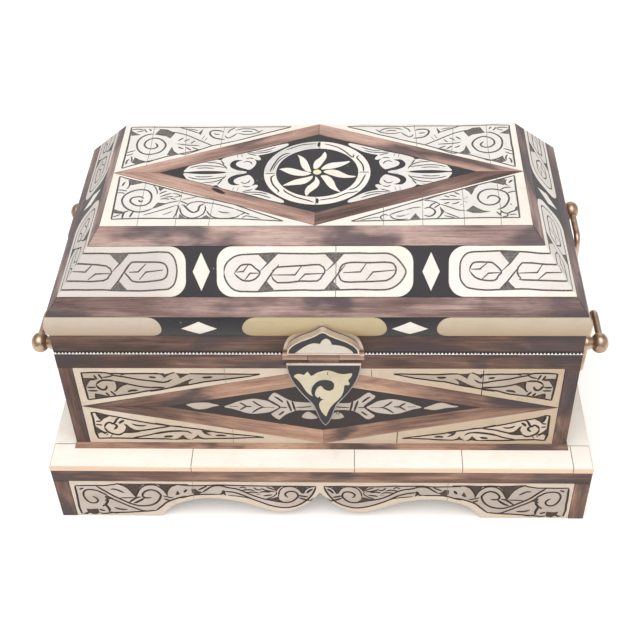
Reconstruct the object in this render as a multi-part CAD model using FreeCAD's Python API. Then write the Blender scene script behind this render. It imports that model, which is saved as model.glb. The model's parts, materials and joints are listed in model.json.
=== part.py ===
import FreeCAD, Part
import math
import os

V = FreeCAD.Vector
os.makedirs("parts", exist_ok=True)

# ---------------------------------------------------------------- dimensions (mm)
# case
CASE_HX, CASE_HY = 150.0, 81.0      # half width and half depth over the veneer
DIFF = CASE_HX - CASE_HY            # every case and lid ring keeps this difference
SKIN = 2.0                          # veneer thickness
WALL = 8.0                          # wall board thickness
CASE_Z0, CASE_Z1 = 49.1, 130.0      # veneer bottom and top
RIM_T = 0.6                         # metal rim strip thickness
BOTTOM_T = 8.0

# plinth
PL_HX, PL_HY = 165.0, 97.0
PL_DIFF = PL_HX - PL_HY
PL_APRON = 10.0                     # apron board thickness
DECK_Z0, DECK_Z1 = 38.3, 46.3
RAIL_Z0 = 34.8                      # lower edge of the plinth's wood rail
PL_STILE = 9.5                      # corner stile width

# lid
LID_Z0 = 131.0
BAND_Z0, BAND_Z1 = 144.4, 158.3
BAND_BULGE = 1.6
LID_Z1 = 197.8
TOP_HX, TOP_HY = 118.5, 49.5
SLOPE_T = 7.0
TOP_T = 8.0
STRIP_LO, STRIP_HI = 11.3, 39.3     # slope distances of the two wood strips' inner edges

# case face layout
RAIL_TOP_Z, RAIL_BOT_Z = 118.4, 53.0
STILE_W = 8.5
FRONT_CX = 2.6                      # the long faces' lozenges sit a little off centre

# handles
POST_Y, POST_Z, BALL_X, BALL_R = 62.3, 121.0, 164.0, 6.0
ROD_R, ROD_FIT = 2.0, 0.05
BAIL_TOP_Y, BAIL_LOW_Y, BAIL_LOW_Z, BAIL_BEND = 34.0, 28.0, 62.0, 6.0

# lid hinges
HINGE_X, HINGE_L = 85.0, 32.0
HINGE_Y, HINGE_Z, KNUCKLE_R, PIN_R = 83.8, 130.5, 2.4, 1.2
LEAF_T = 1.2
LID_STOP = 107.0

# hasp
HASP_X = 4.2
HASP_AX_W, HASP_AX_Z, HASP_R, HASP_PIN_R = 2.9, 131.6, 2.4, 1.1
HASP_MID = 8.7

RUN = CASE_HY - TOP_HY
RISE = LID_Z1 - BAND_Z1
SLEN = math.hypot(RUN, RISE)
CR, SR = RUN / SLEN, RISE / SLEN


# ---------------------------------------------------------------- helpers
def save(name, shapes):
    for s in shapes:
        if not s.isValid() or s.Volume <= 0:
            print("WARNING", name, s.isValid(), s.Volume)
    out = shapes[0] if len(shapes) == 1 else Part.makeCompound(shapes)
    out.exportStep("parts/" + name + ".step")
    print(name, len(shapes), "solids")


def solids(shape):
    return [s for s in shape.Solids if s.Volume > 1e-3]


def box(x0, y0, z0, x1, y1, z1):
    return Part.makeBox(x1 - x0, y1 - y0, z1 - z0, V(x0, y0, z0))


def face_of(points):
    return Part.Face(Part.makePolygon(list(points) + [points[0]]))


def hexa(a, b):
    faces = [face_of(a), face_of(b)]
    for i in range(4):
        j = (i + 1) % 4
        faces.append(face_of([a[i], a[j], b[j], b[i]]))
    s = Part.makeSolid(Part.makeShell(faces))
    if s.Volume < 0:
        s.reverse()
    return s


def ends(side, hy, z, diff):
    hx = hy + diff
    return {"front": (V(-hx, -hy, z), V(hx, -hy, z)),
            "back": (V(hx, hy, z), V(-hx, hy, z)),
            "right": (V(hx, -hy, z), V(hx, hy, z)),
            "left": (V(-hx, hy, z), V(-hx, -hy, z))}[side]


def ring(side, ob, ot, ib, it, diff=DIFF):
    """Mitred board of a rectangular ring; each corner line is (half depth, z)."""
    a0, a1 = ends(side, ob[0], ob[1], diff)
    a2, a3 = ends(side, ot[0], ot[1], diff)
    b0, b1 = ends(side, ib[0], ib[1], diff)
    b2, b3 = ends(side, it[0], it[1], diff)
    return hexa([a0, a1, a3, a2], [b0, b1, b3, b2])


SIDES = ("front", "back", "left", "right")


def wall_pt(side, u, z, w, hx, hy):
    return {"front": V(u, -hy - w, z), "back": V(-u, hy + w, z),
            "right": V(hx + w, u, z), "left": V(-hx - w, -u, z)}[side]


def wall_plate(side, pts, w0, w1, hx=CASE_HX, hy=CASE_HY):
    a = [wall_pt(side, u, z, w0, hx, hy) for u, z in pts]
    d = wall_pt(side, 0, 0, w1, hx, hy) - wall_pt(side, 0, 0, w0, hx, hy)
    return face_of(a).extrude(d)


def slope_pt(side, u, s, w):
    r = CASE_HY - s * CR + w * SR
    z = BAND_Z1 + s * SR + w * CR
    return {"front": V(u, -r, z), "back": V(-u, r, z),
            "right": V(r + DIFF, u, z), "left": V(-r - DIFF, -u, z)}[side]


def slope_plate(side, pts, w0, w1):
    a = [slope_pt(side, u, s, w0) for u, s in pts]
    d = slope_pt(side, 0, 0, w1) - slope_pt(side, 0, 0, w0)
    return face_of(a).extrude(d)


def top_plate(pts, z0, z1):
    return face_of([V(x, y, z0) for x, y in pts]).extrude(V(0, 0, z1 - z0))


def wedge(side):
    k = 300.0
    p = {"front": [(-DIFF, 0), (DIFF, 0), (DIFF + k, -k), (-DIFF - k, -k)],
         "back": [(-DIFF, 0), (DIFF, 0), (DIFF + k, k), (-DIFF - k, k)],
         "right": [(DIFF, 0), (DIFF + k, -k), (DIFF + k, k)],
         "left": [(-DIFF, 0), (-DIFF - k, -k), (-DIFF - k, k)]}[side]
    return top_plate(p, 60, 260)


def smooth(pts, n=3):
    """Closed Catmull-Rom curve through the points, as a polygon."""
    out = []
    m = len(pts)
    for i in range(m):
        p0, p1, p2, p3 = pts[i - 1], pts[i], pts[(i + 1) % m], pts[(i + 2) % m]
        for k in range(n):
            t = k / n
            out.append(tuple(0.5 * (2 * p1[j] + (p2[j] - p0[j]) * t
                                    + (2 * p0[j] - 5 * p1[j] + 4 * p2[j] - p3[j]) * t * t
                                    + (3 * p1[j] - p0[j] - 3 * p2[j] + p3[j]) * t ** 3)
                             for j in (0, 1)))
    return out


def inset(pts, d):
    """Offset a closed polygon inward by d with mitred corners; folded-over points are dropped."""
    area = sum(pts[i - 1][0] * pts[i][1] - pts[i][0] * pts[i - 1][1] for i in range(len(pts)))
    s = 1.0 if area > 0 else -1.0
    item = []
    m = len(pts)
    for i in range(m):
        a, b, c = pts[i - 1], pts[i], pts[(i + 1) % m]
        e1 = (b[0] - a[0], b[1] - a[1])
        e2 = (c[0] - b[0], c[1] - b[1])
        l1, l2 = math.hypot(*e1), math.hypot(*e2)
        n1 = (-e1[1] / l1 * s, e1[0] / l1 * s)
        n2 = (-e2[1] / l2 * s, e2[0] / l2 * s)
        q = max(0.35, 1 + n1[0] * n2[0] + n1[1] * n2[1])
        item.append((b, (b[0] + d * (n1[0] + n2[0]) / q, b[1] + d * (n1[1] + n2[1]) / q), q))
    again = True
    while again:
        again = False
        for i in range(len(item)):
            j = (i + 1) % len(item)
            (o1, w1, q1), (o2, w2, q2) = item[i], item[j]
            if (w2[0] - w1[0]) * (o2[0] - o1[0]) + (w2[1] - w1[1]) * (o2[1] - o1[1]) <= 0.0:
                item.pop(i if q1 > q2 else j)
                again = True
                break
    return [w for o, w, q in item]


def shift(pts, du, dv=0.0):
    return [(u + du, v + dv) for u, v in pts]


def mirror(pts):
    return [(-u, v) for u, v in reversed(pts)]


def cyl_x(x0, x1, y, z, r):
    return Part.makeCylinder(r, x1 - x0, V(x0, y, z), V(1, 0, 0))


def cyl_y(y0, y1, x, z, r):
    return Part.makeCylinder(r, y1 - y0, V(x, y0, z), V(0, 1, 0))


def arc(cx, cy, r, a0, a1, n):
    return [(cx + r * math.cos(math.radians(a0 + (a1 - a0) * k / n)),
             cy + r * math.sin(math.radians(a0 + (a1 - a0) * k / n))) for k in range(n + 1)]


# ---------------------------------------------------------------- plinth
SCALLOP = [(0.0, 24.6), (2.3, 21.2), (4.9, 17.8), (8.0, 13.9), (11.1, 11.0), (15.0, 8.0),
           (19.8, 6.0), (24.5, 5.2), (29.5, 5.9), (35.5, 8.2), (41.3, 10.8), (46.5, 13.6),
           (51.8, 15.7), (59.0, 17.4), (65.0, 18.2), (70.9, 18.4), (77.0, 17.8), (83.0, 16.4),
           (89.5, 14.4), (95.6, 11.4), (100.2, 7.2), (103.6, 2.6), (105.0, 0.0)]


def scallop(k):
    half = [(u * k, z) for u, z in SCALLOP]
    return [(-u, z) for u, z in reversed(half)] + half[1:]


def scallop_cut(side, k):
    pts = scallop(k)
    pts = pts + [(pts[-1][0] + 1.0, -2.0), (pts[0][0] - 1.0, -2.0)]
    return wall_plate(side, pts, -60.0, 10.0, PL_HX, PL_HY)


LONG_K, SHORT_K = 1.0, 0.52
aprons = {}
for side in SIDES:
    k = LONG_K if side in ("front", "back") else SHORT_K
    o, i = PL_HY - SKIN, PL_HY - SKIN - PL_APRON
    b = ring(side, (o, 0), (o, DECK_Z0), (i, 0), (i, DECK_Z0), PL_DIFF)
    aprons[side] = b.cut(scallop_cut(side, k))
save("plinth_long_aprons", [solids(aprons["front"])[0], solids(aprons["back"])[0]])
save("plinth_short_aprons", [solids(aprons["left"])[0], solids(aprons["right"])[0]])

dx, dy = PL_HX - SKIN, PL_HY - SKIN
save("plinth_deck", [box(-dx, -dy, DECK_Z0, dx, dy, DECK_Z1)])

ix, iy = CASE_HX - SKIN, CASE_HY - SKIN
tiles = []
for x0, x1 in ((-PL_HX, -78.0), (-78.0, 21.4), (21.4, 86.7), (86.7, 153.1), (153.1, PL_HX)):
    tiles.append(box(x0, -PL_HY, DECK_Z1, x1, -iy, CASE_Z0))
for x0, x1 in ((-PL_HX, -92.0), (-92.0, -6.0), (-6.0, 83.0), (83.0, PL_HX)):
    tiles.append(box(x0, iy, DECK_Z1, x1, PL_HY, CASE_Z0))
for y0, y1 in ((-iy, 9.0), (9.0, iy)):
    tiles.append(box(ix, y0, DECK_Z1, PL_HX, y1, CASE_Z0))
    tiles.append(box(-PL_HX, y0, DECK_Z1, -ix, y1, CASE_Z0))
save("plinth_ledge_tiles", tiles)

o, i = PL_HY, PL_HY - SKIN
save("plinth_wood_rails",
     [ring(s, (o, RAIL_Z0), (o, DECK_Z1), (i, RAIL_Z0), (i, DECK_Z1), PL_DIFF) for s in SIDES])

stiles = []
for side in SIDES:
    half = PL_HX if side in ("front", "back") else PL_HY
    full = ring(side, (o, 0), (o, RAIL_Z0), (i, 0), (i, RAIL_Z0), PL_DIFF)
    for s in (-1, 1):
        u0, u1 = sorted((s * (half - PL_STILE), s * (half + 5)))
        cut = wall_plate(side, [(u0, -5), (u1, -5), (u1, 60), (u0, 60)], -5, 5, PL_HX, PL_HY)
        stiles += solids(full.common(cut))
save("plinth_corner_stiles", stiles)


def apron_bone(side, k):
    half = (PL_HX if side in ("front", "back") else PL_HY) - PL_STILE
    pts = [(-half, RAIL_Z0), (-half, 0.0)] + scallop(k) + [(half, 0.0), (half, RAIL_Z0)]
    return wall_plate(side, pts, -SKIN, 0.0, PL_HX, PL_HY)


save("apron_bone_front", [apron_bone("front", LONG_K)])
save("apron_bone_back", [apron_bone("back", LONG_K)])
save("apron_bone_sides", [apron_bone("left", SHORT_K), apron_bone("right", SHORT_K)])

# ---------------------------------------------------------------- case boards
o, i = CASE_HY - SKIN, CASE_HY - SKIN - WALL
walls = {s: ring(s, (o, DECK_Z1), (o, CASE_Z1), (i, DECK_Z1), (i, CASE_Z1)) for s in SIDES}
post_holes = [cyl_x(-160, 160, y, POST_Z, ROD_R) for y in (-POST_Y, POST_Y)]
for s in ("left", "right"):
    for h in post_holes:
        walls[s] = walls[s].cut(h)

SCREW_X = [hx + d for hx in (-HINGE_X, HINGE_X) for d in (-11.0, 0.0, 11.0)]
CASE_SCREW_Z, LID_SCREW_Z = 122.6, 138.6


def screw(x, z):
    shank = cyl_y(CASE_HY - 7.0, CASE_HY + LEAF_T + 0.2, x, z, 0.8)
    ball = Part.makeSphere(1.9, V(x, CASE_HY + LEAF_T - 1.0, z))
    head = ball.common(box(x - 3, CASE_HY + LEAF_T, z - 3, x + 3, CASE_HY + 6, z + 3))
    return shank.fuse(head).removeSplitter()


def screw_hole(x, z):
    return cyl_y(CASE_HY - 7.0, CASE_HY + 3.0, x, z, 0.8)


for x in SCREW_X:
    walls["back"] = walls["back"].cut(screw_hole(x, CASE_SCREW_Z))
for s in SIDES:
    save("case_%s_wall" % s, solids(walls[s]))
inx, iny = CASE_HX - SKIN - WALL, CASE_HY - SKIN - WALL
save("case_bottom", [box(-inx, -iny, DECK_Z1, inx, iny, DECK_Z1 + BOTTOM_T)])

# ---------------------------------------------------------------- case veneer
o, i = CASE_HY, CASE_HY - SKIN
rails, cstiles = [], []
for side in SIDES:
    top = ring(side, (o, RAIL_TOP_Z), (o, CASE_Z1), (i, RAIL_TOP_Z), (i, CASE_Z1))
    if side in ("left", "right"):
        for h in post_holes:
            top = top.cut(h)
    if side == "back":
        for x in SCREW_X:
            top = top.cut(screw_hole(x, CASE_SCREW_Z))
    rails += solids(top)
    rails.append(ring(side, (o, CASE_Z0), (o, RAIL_BOT_Z), (i, CASE_Z0), (i, RAIL_BOT_Z)))
    half = CASE_HX if side in ("front", "back") else CASE_HY
    full = ring(side, (o, RAIL_BOT_Z), (o, RAIL_TOP_Z), (i, RAIL_BOT_Z), (i, RAIL_TOP_Z))
    for s in (-1, 1):
        u0, u1 = sorted((s * (half - STILE_W), s * (half + 5)))
        cut = wall_plate(side, [(u0, 40), (u1, 40), (u1, 140), (u0, 140)], -5, 5)
        cstiles += solids(full.common(cut))
save("case_border_rails", rails)
save("case_border_stiles", cstiles)

CZ = 0.5 * (RAIL_TOP_Z + RAIL_BOT_Z)
CV = 0.5 * (RAIL_TOP_Z - RAIL_BOT_Z)


def lozenge(hu, hv, iu, iv, cx):
    """Corner triangles, four frame strips and inner rhombus of a lozenge panel."""
    tri, strip = [], []
    for su in (-1, 1):
        for sv in (-1, 1):
            tri.append([(su * hu, 0), (cx, sv * hv), (su * hu, sv * hv)])
            strip.append([(su * hu, 0), (cx, sv * hv), (cx, sv * iv), (su * iu + cx, 0)])
    rhomb = [(-iu + cx, 0), (cx, -iv), (iu + cx, 0), (cx, iv)]
    return tri, strip, rhomb


LEAF = [(-81.0, 1.7), (-75.8, 3.2), (-68.7, 3.5), (-64.6, 2.3), (-61.5, 1.0), (-65.4, -0.2),
        (-69.2, -1.8), (-73.4, -2.5), (-76.9, -1.6), (-79.1, -0.1)]
LAUREL = [(-58.6, -0.2), (-54.5, 2.2), (-50.2, 4.4), (-45.3, 6.1), (-40.5, 6.9), (-35.9, 5.7),
          (-32.5, 3.6), (-30.2, 1.4), (-28.4, -0.2), (-31.7, -3.0), (-36.6, -5.3), (-41.4, -6.0),
          (-46.2, -5.3), (-49.6, -3.7), (-53.7, -1.9)]
BUNDLE = [(-31.6, 6.6), (-31.0, 8.8), (-29.0, 11.7), (-27.3, 12.0), (-25.0, 10.2), (-21.6, 7.4),
          (-18.2, 5.2), (-14.7, 4.3), (-8.8, 3.8), (-1.0, 3.8), (-1.0, -2.6), (-6.6, -2.9),
          (-11.4, -3.0), (-15.0, -3.1), (-18.6, -4.7), (-22.3, -7.0), (-24.8, -9.7),
          (-26.4, -11.3), (-29.0, -9.3), (-30.7, -6.1), (-29.3, -3.2), (-26.9, -0.3),
          (-28.8, 2.8)]
BIT = [(-12.5, -9.2), (-10.9, -5.6), (-8.5, -4.3), (-5.8, -6.1), (-3.2, -9.6), (-7.5, -10.8)]
LONG_SPRIGS = [smooth(LEAF), smooth(LAUREL), smooth(BUNDLE), smooth(BIT, 2)]
SIDE_K = 0.49
SIDE_SPRIGS = [[(u * SIDE_K, v * 0.8) for u, v in p] for p in LONG_SPRIGS]


def case_face(side, hu, iu, iv, cx, sprigs):
    tri, strip, rhomb = lozenge(hu, CV, iu, iv, cx)
    lift = lambda p: [(u, v + CZ) for u, v in p]
    t = [wall_plate(side, lift(p), -SKIN, 0) for p in tri]
    f = [wall_plate(side, lift(p), -SKIN, 0) for p in strip]
    black = wall_plate(side, lift(rhomb), -SKIN, 0)
    inl = []
    for p in sprigs:
        for q in (p, mirror(p)):
            inl.append(wall_plate(side, lift(shift(q, cx)), -SKIN, 0))
    for s in inl:
        black = black.cut(s)
    return t, f, solids(black), inl


tri, frm, blk, inl = [], [], [], []
for side in ("front", "back"):
    t, f, b, n = case_face(side, CASE_HX - STILE_W, 93.5, 20.6, FRONT_CX if side == "front" else -FRONT_CX,
                           LONG_SPRIGS)
    tri += t
    frm += f
    blk += b
    inl += n
save("case_bone_corners", tri)
save("case_lozenge_frames", frm)
save("case_black_lozenges", blk)
save("case_sprig_inlays", inl)
tri, frm, blk, inl = [], [], [], []
for side in ("left", "right"):
    t, f, b, n = case_face(side, CASE_HY - STILE_W, 47.0, 20.6, 0.0, SIDE_SPRIGS)
    tri += t
    frm += f
    blk += b
    inl += n
save("side_bone_corners", tri)
save("side_lozenge_frames", frm)
save("side_black_lozenges", blk)
save("side_sprig_inlays", inl)

# toothed rim strips on the case's top edge
TOOTH, PITCH, RIM_W = 0.55, 1.5, 4.0


def toothed(u0, u1, skip):
    pts = []
    n = int(round((u1 - u0) / PITCH))
    p = (u1 - u0) / n
    for k in range(n):
        u = u0 + k * p
        t = 0.0 if skip[0] < u < skip[1] else TOOTH
        pts += [(u, 0.0), (u + 0.2 * p, t), (u + 0.65 * p, t), (u + 0.85 * p, 0.0)] if t else [(u, 0.0)]
    pts.append((u1, 0.0))
    return pts


def rim(side, u0, u1, skip=(1e6, 1e6)):
    line = toothed(u0, u1, skip)
    a = [wall_pt(side, u, CASE_Z1, w, CASE_HX, CASE_HY) for u, w in line]
    a += [wall_pt(side, u1, CASE_Z1, -RIM_W, CASE_HX, CASE_HY),
          wall_pt(side, u0, CASE_Z1, -RIM_W, CASE_HX, CASE_HY)]
    return face_of(a).extrude(V(0, 0, RIM_T))


save("rim_strips", [rim("front", -CASE_HX, CASE_HX, (HASP_X - 26, HASP_X + 25)),
                    rim("right", -CASE_HY + RIM_W, CASE_HY - RIM_W),
                    rim("left", -CASE_HY + RIM_W, CASE_HY - RIM_W),
                    box(-CASE_HX, CASE_HY - RIM_W, CASE_Z1, CASE_HX, CASE_HY, CASE_Z1 + RIM_T)])

# ---------------------------------------------------------------- handles
PROFILE = [(150.0, 0.0), (150.0, 6.2), (151.2, 6.2), (151.2, 4.9), (152.5, 4.4), (152.5, 3.2),
           (154.4, 3.0), (154.6, 4.7), (155.8, 4.7), (156.0, 3.3), (157.8, 3.3)]


def post(side, y):
    s = 1 if side == "right" else -1
    x1 = BALL_X - math.sqrt(BALL_R ** 2 - 3.3 ** 2)
    prof = PROFILE + [(x1 + 0.3, 3.3), (x1 + 0.3, 0.0)]
    f = face_of([V(x, 0, r) for x, r in prof])
    b = f.revolve(V(0, 0, 0), V(1, 0, 0), 360)
    b.translate(V(0, y, POST_Z))
    b = b.fuse(Part.makeSphere(BALL_R, V(BALL_X, y, POST_Z)))
    b = b.fuse(cyl_x(134.6, 150.5, y, POST_Z, ROD_R))
    y0, y1 = sorted((y + math.copysign(2.4, y), y - math.copysign(8.0, y)))
    b = b.cut(cyl_y(y0, y1, BALL_X, POST_Z, ROD_R + ROD_FIT)).removeSplitter()
    if s < 0:
        b = b.mirror(V(0, 0, 0), V(1, 0, 0))
    return solids(b)[0]


def nut(side, y):
    p = [V(inx - 3.2, y + 3.8 * math.cos(math.radians(60 * k)), POST_Z + 3.8 * math.sin(math.radians(60 * k)))
         for k in range(6)]
    b = face_of(p).extrude(V(3.2, 0, 0)).cut(cyl_x(100, 160, y, POST_Z, ROD_R))
    if side == "left":
        b = b.mirror(V(0, 0, 0), V(1, 0, 0))
    return solids(b)[0]


save("handle_posts", [post(s, y) for s in ("left", "right") for y in (-POST_Y, POST_Y)])
save("handle_nuts", [nut(s, y) for s in ("left", "right") for y in (-POST_Y, POST_Y)])


def bail(x):
    p = [(-POST_Y - 1.8, POST_Z), (-BAIL_TOP_Y, POST_Z), (-BAIL_LOW_Y, BAIL_LOW_Z),
         (BAIL_LOW_Y, BAIL_LOW_Z), (BAIL_TOP_Y, POST_Z), (POST_Y + 1.8, POST_Z)]
    pts = [V(x, y, z) for y, z in p]
    edges = []
    cur = pts[0]
    for k in range(1, len(pts) - 1):
        a, b, c = pts[k - 1], pts[k], pts[k + 1]
        d1, d2 = (a - b).normalize(), (c - b).normalize()
        half = 0.5 * d1.getAngle(d2)
        t = BAIL_BEND / math.tan(half)
        p1, p2 = b + d1 * t, b + d2 * t
        mid = b + (d1 + d2).normalize() * (BAIL_BEND / math.sin(half) - BAIL_BEND)
        edges.append(Part.makeLine(cur, p1))
        edges.append(Part.Arc(p1, mid, p2).toShape())
        cur = p2
    edges.append(Part.makeLine(cur, pts[-1]))
    path = Part.Wire(edges)
    circ = Part.Wire([Part.makeCircle(ROD_R, pts[0], V(0, 1, 0))])
    rod = path.makePipeShell([circ], True, True)
    grip = Part.makeSphere(3.4, V(x, 0, BAIL_LOW_Z))
    return rod.fuse(grip).removeSplitter()


save("right_bail", [solids(bail(BALL_X))[0]])
save("left_bail", [solids(bail(-BALL_X))[0]])

# ---------------------------------------------------------------- lid boards
o, i = CASE_HY - SKIN, CASE_HY - SKIN - WALL
rims = {s: ring(s, (o, LID_Z0), (o, BAND_Z1), (i, LID_Z0), (i, BAND_Z1)) for s in SIDES}
for x in SCREW_X:
    rims["back"] = rims["back"].cut(screw_hole(x, LID_SCREW_Z))
save("lid_long_rims", solids(rims["front"]) + solids(rims["back"]))
save("lid_short_rims", solids(rims["left"]) + solids(rims["right"]))

SKIN_H = SKIN / SR                      # horizontal offset of the veneer's back on the slope
board_z1 = LID_Z1 - SKIN - TOP_T
hy_at = lambda z, w: CASE_HY - (z - BAND_Z1) * RUN / RISE - w / SR
slopes = {s: ring(s, (hy_at(BAND_Z1, SKIN), BAND_Z1), (hy_at(board_z1, SKIN), board_z1),
                  (hy_at(BAND_Z1, SKIN + SLOPE_T), BAND_Z1),
                  (hy_at(board_z1, SKIN + SLOPE_T), board_z1)) for s in SIDES}
save("lid_long_slopes", [slopes["front"], slopes["back"]])
save("lid_short_slopes", [slopes["left"], slopes["right"]])
t_hy0, t_hy1 = hy_at(board_z1, SKIN), hy_at(LID_Z1 - SKIN, SKIN)
quad = lambda hy, z: [V(-hy - DIFF, -hy, z), V(hy + DIFF, -hy, z), V(hy + DIFF, hy, z), V(-hy - DIFF, hy, z)]
save("lid_top_board", [hexa(quad(t_hy0, board_z1), quad(t_hy1, LID_Z1 - SKIN))])

# ---------------------------------------------------------------- lid veneer: strip and band
o, i = CASE_HY, CASE_HY - SKIN
lowers = {s: ring(s, (o, LID_Z0), (o, BAND_Z0), (i, LID_Z0), (i, BAND_Z0)) for s in SIDES}
for x in SCREW_X:
    lowers["back"] = lowers["back"].cut(screw_hole(x, LID_SCREW_Z))
save("lid_lower_strips", [solids(lowers[s])[0] for s in SIDES])

FLANGE = [(-23.0, 131.4), (-23.0, 133.0), (-22.2, 137.0), (-20.2, 142.5), (-17.3, 145.6), (-12.8, 147.8),
          (-7.7, 150.0), (-3.7, 152.9), (-1.6, 154.7), (0.0, 155.4), (1.6, 154.7), (3.7, 152.9),
          (7.7, 150.0), (12.8, 147.8), (17.3, 145.6), (20.2, 142.5), (22.2, 137.0), (23.0, 133.0),
          (23.0, 131.4)]


def polyline_smooth(pts, n=3, sharp=()):
    """Open Catmull-Rom curve, with corners kept at the sharp indices."""
    out = []
    for i in range(len(pts) - 1):
        p1, p2 = pts[i], pts[i + 1]
        p0 = pts[i - 1] if i > 0 and i not in sharp else p1
        p3 = pts[i + 2] if i + 2 < len(pts) and (i + 1) not in sharp else p2
        for k in range(n):
            t = k / n
            out.append(tuple(0.5 * (2 * p1[j] + (p2[j] - p0[j]) * t
                                    + (2 * p0[j] - 5 * p1[j] + 4 * p2[j] - p3[j]) * t * t
                                    + (3 * p1[j] - p0[j] - 3 * p2[j] + p3[j]) * t ** 3)
                             for j in (0, 1)))
    out.append(pts[-1])
    return out


flange_pts = shift(polyline_smooth(FLANGE, 3, (1, 9, 17)), HASP_X)
flange_seat = wall_plate("front", flange_pts, -0.02, 4.0)

BM = 0.5 * (BAND_Z0 + BAND_Z1)
BR = 0.5 * (BAND_Z1 - BAND_Z0)


def band_solid(side):
    hu = (CASE_HX if side in ("front", "back") else CASE_HY) + 8
    p = lambda z, w: wall_pt(side, -hu, z, w, CASE_HX, CASE_HY)
    w = Part.Wire([Part.makeLine(p(BAND_Z0, -SKIN), p(BAND_Z0, 0)),
                   Part.Arc(p(BAND_Z0, 0), p(BM, BAND_BULGE), p(BAND_Z1, 0)).toShape(),
                   Part.makeLine(p(BAND_Z1, 0), p(BAND_Z1, -SKIN)),
                   Part.makeLine(p(BAND_Z1, -SKIN), p(BAND_Z0, -SKIN))])
    d = wall_pt(side, hu, 0, 0, CASE_HX, CASE_HY) - wall_pt(side, -hu, 0, 0, CASE_HX, CASE_HY)
    return Part.Face(w).extrude(d).common(wedge(side))


def pill(u0, u1, r0, r1):
    """Elevation outline of a band piece; r0, r1 say which ends are rounded."""
    p = arc(u0 + BR, BM, BR, 270, 90, 14) if r0 else [(u0, BAND_Z0), (u0, BAND_Z1)]
    q = arc(u1 - BR, BM, BR, 90, -90, 14) if r1 else [(u1, BAND_Z1), (u1, BAND_Z0)]
    return p + q


def diamond(cu, cv, hu, hv):
    return [(cu - hu, cv), (cu, cv - hv), (cu + hu, cv), (cu, cv + hv)]


LONG_BAND = {"front": ((-85.4, -40.4, -64.4), (39.6, 67.1, 52.3)),
             "back": ((-67.1, -39.6, -52.3), (40.4, 85.4, 64.4))}
bones, blacks, gems = [], [], []
for side in SIDES:
    spec = LONG_BAND.get(side, ((-15.0, 15.0, 0.0),))
    band = band_solid(side)
    if side == "front":
        band = band.cut(flange_seat)
    hu = CASE_HX + 6 if side in ("front", "back") else CASE_HY + 6
    cuts = [-hu] + [v for a, b, c in spec for v in (a, b)] + [hu]
    pieces = []
    for k in range(0, len(cuts), 2):
        pl = wall_plate(side, pill(cuts[k], cuts[k + 1], k > 0, k + 2 < len(cuts)), -4, 5)
        pieces += solids(band.common(pl))
    for a, b, c in spec:
        sp = band.common(wall_plate(side, [(a - BR, BAND_Z0 - 1), (b + BR, BAND_Z0 - 1), (b + BR, BAND_Z1 + 1),
                                           (a - BR, BAND_Z1 + 1)], -4, 5))
        for q in pieces:
            sp = sp.cut(q)
        g = wall_plate(side, diamond(c, BM, 10.2, 4.7), -4, 5)
        gems += solids(sp.common(g))
        blacks += solids(sp.cut(g))
    bones += pieces
save("lid_band_bone", bones)
save("lid_band_black", blacks)

# ---------------------------------------------------------------- lid veneer: slopes
on = lambda s, w: (CASE_HY - s * CR - w * SR, BAND_Z1 + s * SR - w * CR)
strips = []
for side in SIDES:
    strips.append(ring(side, (CASE_HY, BAND_Z1), on(STRIP_LO, 0), (hy_at(BAND_Z1, SKIN), BAND_Z1),
                       on(STRIP_LO, SKIN)))
    strips.append(ring(side, on(STRIP_HI, 0), (TOP_HY, LID_Z1), on(STRIP_HI, SKIN), (t_hy1, LID_Z1 - SKIN)))
save("slope_wood_strips", strips)


def cartouche(u0, u1, r0, r1, rad=9.0):
    """Rounded-end panel between the two strips; r0, r1 say which ends are rounded."""
    s0, s1 = STRIP_LO, STRIP_HI
    p = arc(u0 + rad, s0 + rad, rad, 270, 180, 8) + arc(u0 + rad, s1 - rad, rad, 180, 90, 8) if r0 else [
        (u0, s0), (u0, s1)]
    q = arc(u1 - rad, s1 - rad, rad, 90, 0, 8) + arc(u1 - rad, s0 + rad, rad, 0, -90, 8) if r1 else [
        (u1, s1), (u1, s0)]
    return p + q


SPAN = {"front": ((-70.8, -54.0), (54.0, 73.0)), "back": ((-73.0, -54.0), (54.0, 70.8)),
        "left": ((-9.0, 9.0),), "right": ((-9.0, 9.0),)}
carts, spacers = [], []
for side in SIDES:
    wd = wedge(side)
    spec = SPAN[side]
    cuts = [-200.0] + [v for ab in spec for v in ab] + [200.0]
    pieces = []
    for k in range(0, len(cuts), 2):
        pl = slope_plate(side, cartouche(cuts[k], cuts[k + 1], k > 0, k + 2 < len(cuts)), -SKIN, 0)
        pieces += solids(pl.common(wd))
    carts += pieces
    for a, b in spec:
        sp = slope_plate(side, [(a - 10, STRIP_LO), (b + 10, STRIP_LO), (b + 10, STRIP_HI), (a - 10, STRIP_HI)],
                         -SKIN, 0)
        for q in pieces:
            sp = sp.cut(q)
        g = slope_plate(side, diamond(0.5 * (a + b), 0.5 * (STRIP_LO + STRIP_HI), 4.8, 10.8), -SKIN, 0)
        gems.append(g)
        spacers += solids(sp.cut(g))
save("slope_cartouches", carts)
save("slope_black_spacers", spacers)
save("lid_diamonds", gems)

# ---------------------------------------------------------------- lid veneer: top panel
TOP_IU, TOP_IV = 91.7, 38.2
zt0, zt1 = LID_Z1 - SKIN, LID_Z1
t_slab = hexa(quad(t_hy1, zt0), quad(TOP_HY, zt1))
tri, strip, rhomb = lozenge(TOP_HX, TOP_HY, TOP_IU, TOP_IV, 0.0)
save("top_bone_corners", [solids(top_plate(p, zt0, zt1).common(t_slab))[0] for p in tri])
save("top_lozenge_frame", [solids(top_plate(p, zt0, zt1).common(t_slab))[0] for p in strip])

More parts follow.
